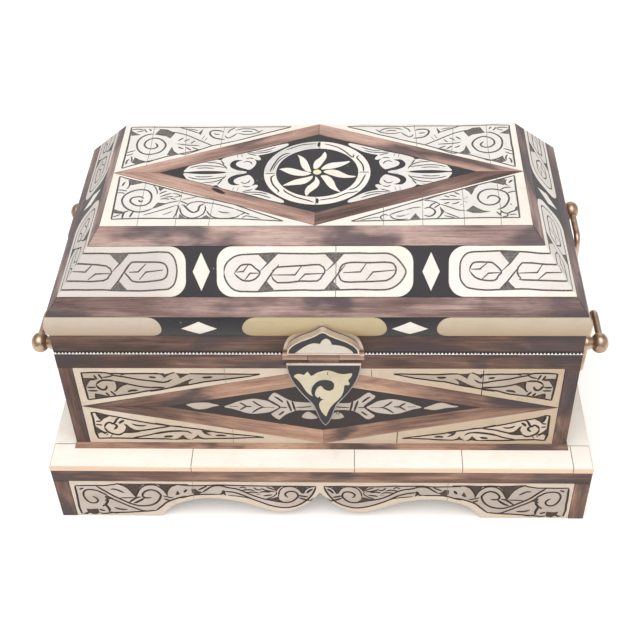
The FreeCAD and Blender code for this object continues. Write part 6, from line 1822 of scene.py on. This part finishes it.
def rim_strip():
    v, f, mat = [], [], []
    z0 = 130.0
    rnd = random.Random(17)

    def bar(low, high, put, za, zb, m):
        n = len(f)
        prism(v, f, low, high, put, za, zb)
        mat.extend([m] * (len(f) - n))

    for side, half in (("front", CASE_HX), ("right", CASE_HY - 4.0), ("left", CASE_HY - 4.0), ("back", CASE_HX)):
        put = wall_map(side, CASE_HX, CASE_HY)
        # Near-black plate in the seam under the lid: a painted shadow line between lid and case.
        base = [(-half, -4.0), (half, -4.0), (half, -0.05), (-half, -0.05)]
        bar(base, base, put, z0, z0 + 0.16, 1)
        if side == "back":
            continue
        runs = ((-half, HASP_X - 24), (HASP_X + 23, half)) if side == "front" else ((-half, half),)
        for u0, u1 in runs:
            lip = [(u0, -0.05), (u1, -0.05), (u1, 0.14), (u0, 0.14)]
            bar(lip, lip, put, z0 - 0.12, z0 + 0.10, 0)
            n = int(round((u1 - u0) / 2.05))
            p = (u1 - u0) / n
            for k in range(n):
                u = u0 + (k + 0.5) * p + rnd.uniform(-0.12, 0.12)
                a, t = 0.31 * p, 0.15 * p
                bar([(u - a, 0.02), (u + a, 0.02), (u + a, 0.42), (u - a, 0.42)],
                    [(u - t, 0.04), (u + t, 0.04), (u + t, 0.30), (u - t, 0.30)], put, z0 + 0.08, z0 + 1.30, 0)
    me = bpy.data.meshes.new("rim_strips_toothed")
    me.from_pydata(v, [], f)
    bm = bmesh.new()
    bm.from_mesh(me)
    bmesh.ops.recalc_face_normals(bm, faces=bm.faces)
    bm.to_mesh(me)
    bm.free()
    me.materials.append(M_RIM)
    me.materials.append(M_SEAM_SHADE)
    me.polygons.foreach_set("material_index", np.array(mat, np.int32))
    ob = bpy.data.objects.new("rim_strips_toothed", me)
    scene.collection.objects.link(ob)
    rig.ride(ob, "case")
    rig.replaces(ob, "rim_strips")
    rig.slot(ob, "rim_metal")


rim_strip()

# ------------------------------------------------------------------ ornament: apron plates
SCALLOP = [(0.0, 24.6), (2.3, 21.2), (4.9, 17.8), (8.0, 13.9), (11.1, 11.0), (15.0, 8.0),
           (19.8, 6.0), (24.5, 5.2), (29.5, 5.9), (35.5, 8.2), (41.3, 10.8), (46.5, 13.6),
           (51.8, 15.7), (59.0, 17.4), (65.0, 18.2), (70.9, 18.4), (77.0, 17.8), (83.0, 16.4),
           (89.5, 14.4), (95.6, 11.4), (100.2, 7.2), (103.6, 2.6), (105.0, 0.0)]


APRON_LEFT = (
    ("P", 1.2, ((-152.3, 29.7), (-152.5, 20.4), (-153.1, 8.7), (-152.5, 1.9))),
    ("P", 1.0, ((-152.2, 30.3), (-143.1, 30.7), (-134.0, 30.6), (-127.6, 31.7), (-125.6, 32.5), (-121.8, 32.1),
              (-111.3, 31.9), (-104.6, 32.5), (-96.6, 31.9), (-81.4, 32.0))),
    ("L", 1.1, ((-141.7, 3.2), (-138.4, 2.3), (-131.9, 3.2), (-124.0, 3.6), (-117.0, 4.3), (-109.1, 5.2), (-103.8, 6.0))),
    ("L", 1.1, ((-104.6, 5.5), (-100.1, 10.4), (-96.2, 14.6), (-91.1, 17.5), (-87.0, 19.5), (-82.6, 20.7))),
    ("D", 1.0, ((-148.9, 7.3), (-146.0, 6.8), (-141.5, 7.4), (-140.9, 4.8), (-141.8, 2.0), (-145.0, 1.3), (-147.2, 2.8),
              (-149.1, 1.4), (-152.0, 2.0), (-148.4, 4.0))),
    ("L", 1.1, ((-142.8, 19.9), (-141.2, 18.6), (-140.0, 16.2), (-141.0, 13.9), (-143.5, 13.1), (-146.0, 14.2),
              (-147.7, 17.3), (-148.3, 21.2), (-147.6, 24.3), (-145.7, 26.2), (-142.8, 26.6), (-139.1, 25.5),
              (-136.5, 23.6), (-134.4, 21.7), (-133.0, 19.8))),
    ("L", 1.1, ((-150.0, 26.5), (-148.6, 27.5), (-147.1, 27.9))),
    ("L", 1.2, ((-138.9, 30.0), (-136.0, 27.0), (-132.7, 23.6), (-129.3, 20.2), (-125.9, 17.5), (-124.1, 16.0),
              (-120.6, 13.3), (-117.9, 11.8), (-114.7, 10.6), (-110.8, 10.5), (-106.8, 11.4), (-103.6, 13.5),
              (-101.0, 17.0), (-99.7, 20.9), (-100.1, 22.8), (-101.7, 25.1), (-104.4, 26.6), (-106.8, 26.3),
              (-109.4, 24.6), (-111.0, 21.9), (-110.8, 19.6), (-108.8, 18.5), (-105.6, 18.9))),
    ("L", 1.1, ((-134.2, 20.2), (-131.6, 17.9), (-129.4, 16.3), (-125.9, 13.7), (-121.1, 10.2), (-116.6, 7.5),
              (-112.9, 5.5), (-109.1, 5.2))),
    ("D", 1.0, ((-135.3, 19.9), (-133.1, 20.7), (-130.1, 18.0), (-132.5, 16.7), (-134.6, 17.3), (-135.0, 18.4))),
    ("L", 1.5, ((-135.8, 15.7), (-134.0, 16.3), (-134.2, 14.4), (-135.6, 11.6), (-134.9, 9.3), (-134.1, 6.5),
              (-134.7, 4.1))),
    ("L", 1.1, ((-135.6, 11.6), (-136.7, 11.0), (-138.0, 9.6))),
    ("L", 1.3, ((-130.6, 8.7), (-127.4, 7.0), (-122.6, 6.5))),
    ("L", 1.1, ((-134.4, 4.1), (-132.8, 3.5), (-130.9, 2.9), (-127.5, 3.2))),
    ("L", 1.3, ((-140.6, 6.8), (-138.9, 5.7), (-137.0, 5.3))),
    ("L", 1.0, ((-125.6, 32.4), (-122.0, 30.6), (-119.5, 28.0), (-117.6, 24.5), (-116.2, 21.1), (-115.7, 19.2))),
    ("D", 1.0, ((-122.4, 31.3), (-118.1, 31.4), (-109.2, 31.8), (-112.3, 28.4), (-114.0, 24.6), (-115.4, 19.8),
              (-116.9, 23.0), (-118.7, 26.8))),
    ("L", 1.2, ((-130.5, 27.1), (-127.4, 26.9), (-124.7, 25.2), (-122.4, 23.4))),
    ("L", 0.9, ((-125.8, 18.2), (-121.8, 18.5), (-116.5, 18.8))),
    ("L", 1.3, ((-120.6, 13.7), (-117.8, 16.5), (-115.0, 18.8), (-112.1, 19.4))),
    ("L", 1.5, ((-117.8, 13.1), (-114.6, 14.9), (-110.3, 18.3))),
    ("L", 1.0, ((-115.8, 18.8), (-114.2, 23.0), (-111.9, 27.6), (-108.6, 30.7), (-104.7, 31.6), (-101.5, 30.9),
              (-98.5, 28.1), (-96.5, 24.7), (-95.5, 20.9))),
    ("D", 1.0, ((-100.0, 31.5), (-94.7, 31.6), (-89.5, 31.6), (-92.8, 29.3), (-94.7, 25.9), (-95.4, 20.8), (-96.3, 24.4),
              (-98.0, 28.2))),
    ("L", 1.0, ((-95.5, 20.5), (-95.7, 23.2), (-94.3, 27.0), (-92.0, 30.1), (-88.5, 31.6))),
    ("L", 1.0, ((-98.4, 20.7), (-95.2, 19.5), (-91.9, 18.5))),
    ("L", 1.2, ((-98.0, 17.8), (-96.0, 16.7), (-94.4, 16.0))),
    ("D", 1.0, ((-90.5, 21.9), (-88.7, 26.2), (-87.3, 22.9), (-89.2, 21.4))),
    ("L", 1.5, ((-84.7, 24.2), (-83.6, 26.0), (-82.7, 27.2))),
    ("P", 1.0, ((-86.5, 31.4), (-78.8, 31.0), (-71.0, 31.2), (-62.7, 31.9), (-50.9, 31.4), (-33.1, 30.9), (-18.3, 31.0),
              (-2.1, 30.7))),
    ("L", 1.0, ((-87.9, 18.3), (-83.5, 20.0), (-79.2, 21.5), (-73.1, 22.3), (-67.1, 22.5), (-62.9, 22.6))),
    ("D", 1.0, ((-79.9, 27.6), (-77.3, 27.9), (-75.7, 25.8), (-73.0, 24.4), (-76.1, 22.1), (-78.5, 22.0), (-79.8, 24.3))),
    ("L", 1.1, ((-75.6, 26.7), (-73.1, 28.4), (-69.9, 30.6))),
    ("L", 1.1, ((-73.2, 24.4), (-70.2, 27.3), (-67.0, 30.1), (-63.9, 31.1), (-60.4, 30.8), (-57.0, 29.3), (-52.3, 28.2),
              (-48.8, 26.5), (-44.3, 23.2), (-39.7, 20.4), (-35.1, 18.2), (-30.3, 16.7), (-25.6, 15.4), (-21.4, 14.8),
              (-17.8, 15.8), (-14.7, 19.2), (-13.7, 21.9), (-15.0, 24.9), (-17.4, 25.9), (-19.8, 25.4), (-21.6, 23.5),
              (-21.4, 21.5), (-20.1, 19.9))),
    ("L", 1.4, ((-63.5, 22.6), (-61.1, 23.0), (-59.9, 25.9), (-59.7, 23.6), (-58.8, 21.5))),
    ("L", 1.1, ((-59.1, 25.5), (-53.8, 24.6), (-48.0, 21.8), (-43.4, 18.5), (-37.6, 15.1), (-31.8, 11.8), (-25.9, 9.9),
              (-20.5, 9.7), (-15.0, 11.5), (-10.6, 14.9), (-6.9, 19.3), (-4.1, 24.6), (-2.4, 30.3))),
    ("L", 0.8, ((-57.6, 21.5), (-51.7, 20.8), (-45.8, 19.4), (-41.7, 17.2))),
    ("L", 0.9, ((-49.9, 28.9), (-47.4, 29.8), (-45.6, 28.4))),
    ("L", 1.0, ((-48.8, 26.5), (-44.6, 27.3), (-40.5, 26.4))),
    ("L", 1.0, ((-46.0, 24.5), (-40.6, 24.9), (-37.7, 23.8))),
    ("L", 1.0, ((-40.9, 29.6), (-39.3, 27.6), (-36.0, 27.1))),
    ("L", 1.1, ((-36.8, 29.0), (-33.4, 26.7), (-28.1, 25.6))),
    ("L", 1.1, ((-37.7, 24.7), (-34.6, 25.4), (-30.8, 24.8))),
    ("L", 1.1, ((-35.5, 21.2), (-32.5, 21.7), (-29.7, 22.4))),
    ("L", 0.9, ((-39.9, 22.8), (-36.6, 22.3))),
    ("L", 1.0, ((-33.2, 29.7), (-30.3, 28.6), (-27.4, 26.7))),
    ("L", 0.8, ((-27.5, 25.8), (-27.1, 23.4), (-29.5, 20.5), (-33.9, 18.3))),
    ("D", 1.0, ((-29.9, 30.5), (-23.4, 30.7), (-25.6, 28.2), (-26.9, 25.6), (-28.2, 28.4))),
    ("D", 1.0, ((-14.5, 30.4), (-7.1, 30.7), (-9.6, 27.4), (-10.6, 23.6), (-12.3, 27.3))),
    ("D", 1.0, ((-34.2, 18.3), (-29.6, 19.1), (-25.8, 20.8), (-25.5, 17.7), (-22.9, 15.3), (-28.0, 15.6))),
    ("L", 0.8, ((-26.0, 20.5), (-25.4, 24.8), (-23.8, 28.6), (-20.7, 30.4), (-16.6, 30.4), (-13.4, 28.3), (-11.0, 23.8))),
    ("L", 1.3, ((-13.7, 21.9), (-11.0, 21.2), (-7.5, 20.4))),
    ("L", 1.3, ((-13.5, 19.7), (-10.5, 18.3), (-5.8, 16.6))),
    ("L", 0.8, ((-10.3, 23.6), (-9.0, 27.4), (-6.6, 29.7), (-3.6, 30.5))),
    ("L", 1.4, ((-8.2, 24.1), (-6.7, 26.4), (-4.4, 28.4))),
    ("L", 1.8, ((-6.1, 15.9), (-4.9, 17.6), (-3.0, 19.1))),
    ("J", 1.0, ((-78.5, 34.7), (-78.9, 24.3), (-79.3, 15.7))),
)


APRON_FIELD = ((-152.3, 30.0), (-152.5, 20.4), (-153.1, 8.7), (-152.5, 1.9), (-141.7, 2.8), (-138.4, 2.3), (-131.9, 3.2),
               (-117.0, 4.3), (-104.2, 5.7), (-100.1, 10.4), (-96.2, 14.6), (-91.1, 17.5), (-87.0, 19.3), (-79.2, 21.5),
               (-73.1, 22.3), (-62.9, 22.6), (-57.6, 21.5), (-51.7, 20.8), (-45.8, 19.4), (-41.7, 17.2), (-37.6, 15.1),
               (-31.8, 11.8), (-25.9, 9.9), (-20.5, 9.7), (-15.0, 11.5), (-10.6, 14.9), (-6.9, 19.3), (-4.1, 24.6),
               (-2.4, 30.6), (-18.3, 31.0), (-33.1, 30.9), (-50.9, 31.4), (-62.7, 31.9), (-71.0, 31.2), (-78.8, 31.0),
               (-86.5, 31.5), (-96.6, 31.9), (-104.6, 32.5), (-111.3, 31.9), (-121.8, 32.1), (-125.6, 32.5),
               (-127.6, 31.7), (-134.0, 30.6), (-143.1, 30.7))


def beside(pts, d):
    """The line moved sideways by d, to the left of its own direction."""
    out = []
    for i, c in enumerate(pts):
        a, b = pts[max(0, i - 1)], pts[min(len(pts) - 1, i + 1)]
        l = math.hypot(b[0] - a[0], b[1] - a[1])
        out.append((c[0] - (b[1] - a[1]) / l * d, c[1] + (b[0] - a[0]) / l * d))
    return out


def short_apron_drawing(p, k, half):
    """Left half of the short aprons: two spirals and a leaf over the arch."""
    W = 1.0
    p.poly([(-half + 2.4, 2.4), (-half + 2.4, 31.4), (-40.0, 31.7), (-1.6, 31.2)], W)
    edge = [(-u * k, z) for u, z in reversed(SCALLOP)]
    p.line([(-half + 2.4, 2.4), (-62.0, 3.0)] + [q for q in beside(edge, 3.2) if q[0] < -2.0 and q[1] > 3.0], W)
    p.line(spiral(-73.0, 19.4, 7.6, 1.8, -35, 1.75), W)
    p.line([(-66.8, 15.0), (-62.0, 18.2), (-55.0, 23.4), (-47.0, 26.2), (-39.0, 25.8), (-33.0, 23.0)], W)
    p.line([(-66.0, 23.0), (-60.0, 27.2), (-51.0, 30.0), (-41.0, 29.8), (-33.4, 26.8)], W)
    p.line([(-54.0, 26.4), (-48.0, 28.0), (-42.0, 27.6)], W * 1.3)
    p.line([(-83.6, 6.0), (-77.0, 9.0), (-70.0, 9.6), (-63.0, 7.2), (-58.6, 4.0)], W)
    p.line([(-76.0, 5.4), (-71.0, 6.4), (-66.4, 5.6)], W * 1.3)
    p.line([(-84.6, 13.0), (-82.4, 15.0), (-81.0, 18.0)], W)
    p.line([(-84.6, 24.0), (-81.6, 24.6), (-79.4, 26.6)], W)
    p.line([(-78.0, 29.8), (-76.4, 28.0)], W)
    p.line([(-74.6, 30.2), (-73.4, 28.2)], W)
    p.ground([(-84.8, 31.0), (-79.6, 31.0), (-80.6, 27.4), (-84.8, 26.0)])
    p.ground([(-70.0, 31.2), (-57.0, 31.3), (-62.0, 28.0), (-66.6, 24.4)])
    p.ground([(-66.4, 13.0), (-61.0, 16.0), (-57.6, 12.0), (-60.6, 9.0)])
    p.line([(-33.0, 26.6), (-27.0, 21.4), (-22.6, 15.6), (-18.2, 11.6), (-13.0, 10.2), (-8.6, 12.4)], W)
    p.line([(-33.0, 23.0), (-28.0, 18.4), (-24.6, 13.6)], W)
    p.line(spiral(-13.2, 20.8, 6.0, 1.6, -60, 1.6), W)
    p.line([(-30.0, 29.6), (-26.0, 27.4), (-23.0, 23.6)], W)
    p.line([(-27.0, 30.6), (-23.4, 28.6), (-21.0, 25.6)], W)
    p.ground([(-22.0, 31.0), (-14.0, 31.0), (-17.6, 28.4), (-20.0, 26.0)])
    p.ground([(-9.6, 31.0), (-3.0, 31.0), (-4.6, 27.6), (-6.6, 25.6)])
    p.ground([(-22.0, 16.4), (-19.4, 18.6), (-19.0, 14.6), (-20.0, 13.8)])
    p.line([(-6.6, 22.4), (-4.6, 24.6), (-3.2, 27.0)], W)


def apron_out(k, half):
    h = [(u * k - (float(np.interp(u, *WIDER)) if k == 1.0 else 0.0), z) for u, z in SCALLOP]
    line = curve([(-u, z) for u, z in reversed(h)], 2)[:-1] + curve(h, 2)
    return [(-half, RAIL_Z0), (-half, 0.0)] + line + [(half, 0.0), (half, RAIL_Z0)]


def apron(name, nodes, sides, k, half):
    pl = Plates(name, "case", nodes, "bone")
    for j, side in enumerate(sides):
        pen = Pen()
        for s in (1, -1):
            wob = wobble(400 + 3 * j + s + len(name), 0.0 if side == "front" and s > 0 else 0.25)
            pen.move = lambda u, v, s=s, wob=wob: wob(s * u, v)
            if k == 1.0:
                pen.stain(APRON_FIELD)
                engrave(pen, APRON_LEFT, 1.18)
            else:
                short_apron_drawing(pen, k, half)
        pl.add(apron_out(k, half), pen.shapes, wall_map(side, PL_HX, PL_HY), depth=0.26,
               cuts=[-78.9, 0.0, 78.9] if k == 1.0 else [0.0], seed=420 + j + len(name))
    return pl.make([M_BONE_TAN, M_INK_BROWN, M_JOINT, M_GROUND, M_BONE_DIRT])


apron("apron_bone_front_cut", ["apron_bone_front"], ("front",), 1.0, PL_HX - PL_STILE)
apron("apron_bone_back_cut", ["apron_bone_back"], ("back",), 1.0, PL_HX - PL_STILE)
apron("apron_bone_sides_cut", ["apron_bone_sides"], ("left", "right"), 0.52, PL_HY - PL_STILE)

# ------------------------------------------------------------------ floor, light, camera
bm = bmesh.new()
R = 6.0
n_far = 24
rows = []
for j in range(n_far + 1):
    t = j / n_far
    y = -3.0 + 6.0 * t
    z = -0.0002 if y < 1.6 else -0.0002 + (y - 1.6) ** 2 * 0.9
    rows.append([bm.verts.new((-R + 2 * R * i / 8, y, z)) for i in range(9)])
for a, b in zip(rows, rows[1:]):
    for i in range(8):
        bm.faces.new((a[i], a[i + 1], b[i + 1], b[i]))
me = bpy.data.meshes.new("studio_floor")
bm.to_mesh(me)
bm.free()
me.shade_smooth()
floor = bpy.data.objects.new("studio_floor", me)
scene.collection.objects.link(floor)
fm, fnt, fbs = node_tree("floor_paper")
fg = Graph(fnt)
fn = fg.noise(fg.coords(), 3.0, 2.0)
fg.link(fg.ramp(fn, [(0.3, (0.955, 0.955, 0.955)), (0.7, (0.97, 0.97, 0.965))]), fbs.inputs["Base Color"])
fbs.inputs["Roughness"].default_value = 0.9
fbs.inputs["Emission Color"].default_value = (1.0, 0.995, 0.985, 1.0)
fbs.inputs["Emission Strength"].default_value = 0.24
fbs.inputs["Specular IOR Level"].default_value = 0.1
me.materials.append(fm)
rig.stage(floor)

world = bpy.data.worlds.new("studio")
scene.world = world
world.use_nodes = True
bg = world.node_tree.nodes["Background"]
bg.inputs["Color"].default_value = (1.0, 0.985, 0.965, 1.0)
bg.inputs["Strength"].default_value = 0.27


def lamp(name, loc, aim, size, power, colour=(1, 1, 1)):
    d = bpy.data.lights.new(name, "AREA")
    d.shape = "RECTANGLE"
    d.size, d.size_y = size
    d.energy = power
    d.color = colour
    o = bpy.data.objects.new(name, d)
    o.location = loc
    o.rotation_mode = "QUATERNION"
    o.rotation_quaternion = (Vector(aim) - Vector(loc)).to_track_quat("-Z", "Y")
    scene.collection.objects.link(o)
    return o


lamp("key_over", (-0.05, -0.50, 1.32), (0.0, 0.0, 0.13), (1.6, 1.2), 20.5, (1.0, 0.985, 0.965))
lamp("fill_front", (0.35, -1.5, 0.75), (0.0, 0.0, 0.10), (1.4, 1.0), 0.8, (1.0, 0.98, 0.955))
lamp("rim_back", (0.0, 1.3, 0.9), (0.0, 0.25, 0.05), (1.8, 0.8), 3.6, (1.0, 1.0, 1.0))
lamp("fill_right", (1.3, -0.35, 0.75), (0.0, 0.0, 0.08), (1.0, 1.0), 1.6, (1.0, 0.985, 0.965))
lamp("fill_left", (-1.3, -0.35, 0.75), (0.0, 0.0, 0.08), (1.0, 1.0), 0.8, (1.0, 0.985, 0.965))

CAM = (25.1643, -533.6214, 581.5988)
YAW, PITCH, ROLL, FOCAL = -0.0494, 0.7534, -0.0334, 1129.41
fwd = Vector((math.sin(YAW) * math.cos(PITCH), math.cos(YAW) * math.cos(PITCH), -math.sin(PITCH)))
right = Vector((math.cos(YAW), -math.sin(YAW), 0.0))
up = right.cross(fwd)
r2 = math.cos(ROLL) * right + math.sin(ROLL) * up
u2 = -math.sin(ROLL) * right + math.cos(ROLL) * up
cd = bpy.data.cameras.new("camera")
cam = bpy.data.objects.new("camera", cd)
scene.collection.objects.link(cam)
cd.sensor_fit = "HORIZONTAL"
cd.sensor_width = 36.0
cd.lens = FOCAL / 640.0 * 36.0
cd.clip_start, cd.clip_end = 0.01, 50.0
mw = Matrix((r2, u2, -fwd)).transposed().to_4x4()
mw.translation = Vector(CAM) * MM
cam.matrix_world = mw
scene.camera = cam

scene.view_settings.view_transform = "Standard"
scene.view_settings.look = "None"
scene.view_settings.exposure = 0.0

new_lo, new_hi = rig.bounds()
with open("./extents.json", "w") as f:
    json.dump({"cad": [list(cad_lo), list(cad_hi)], "visual": [list(new_lo), list(new_hi)]}, f)
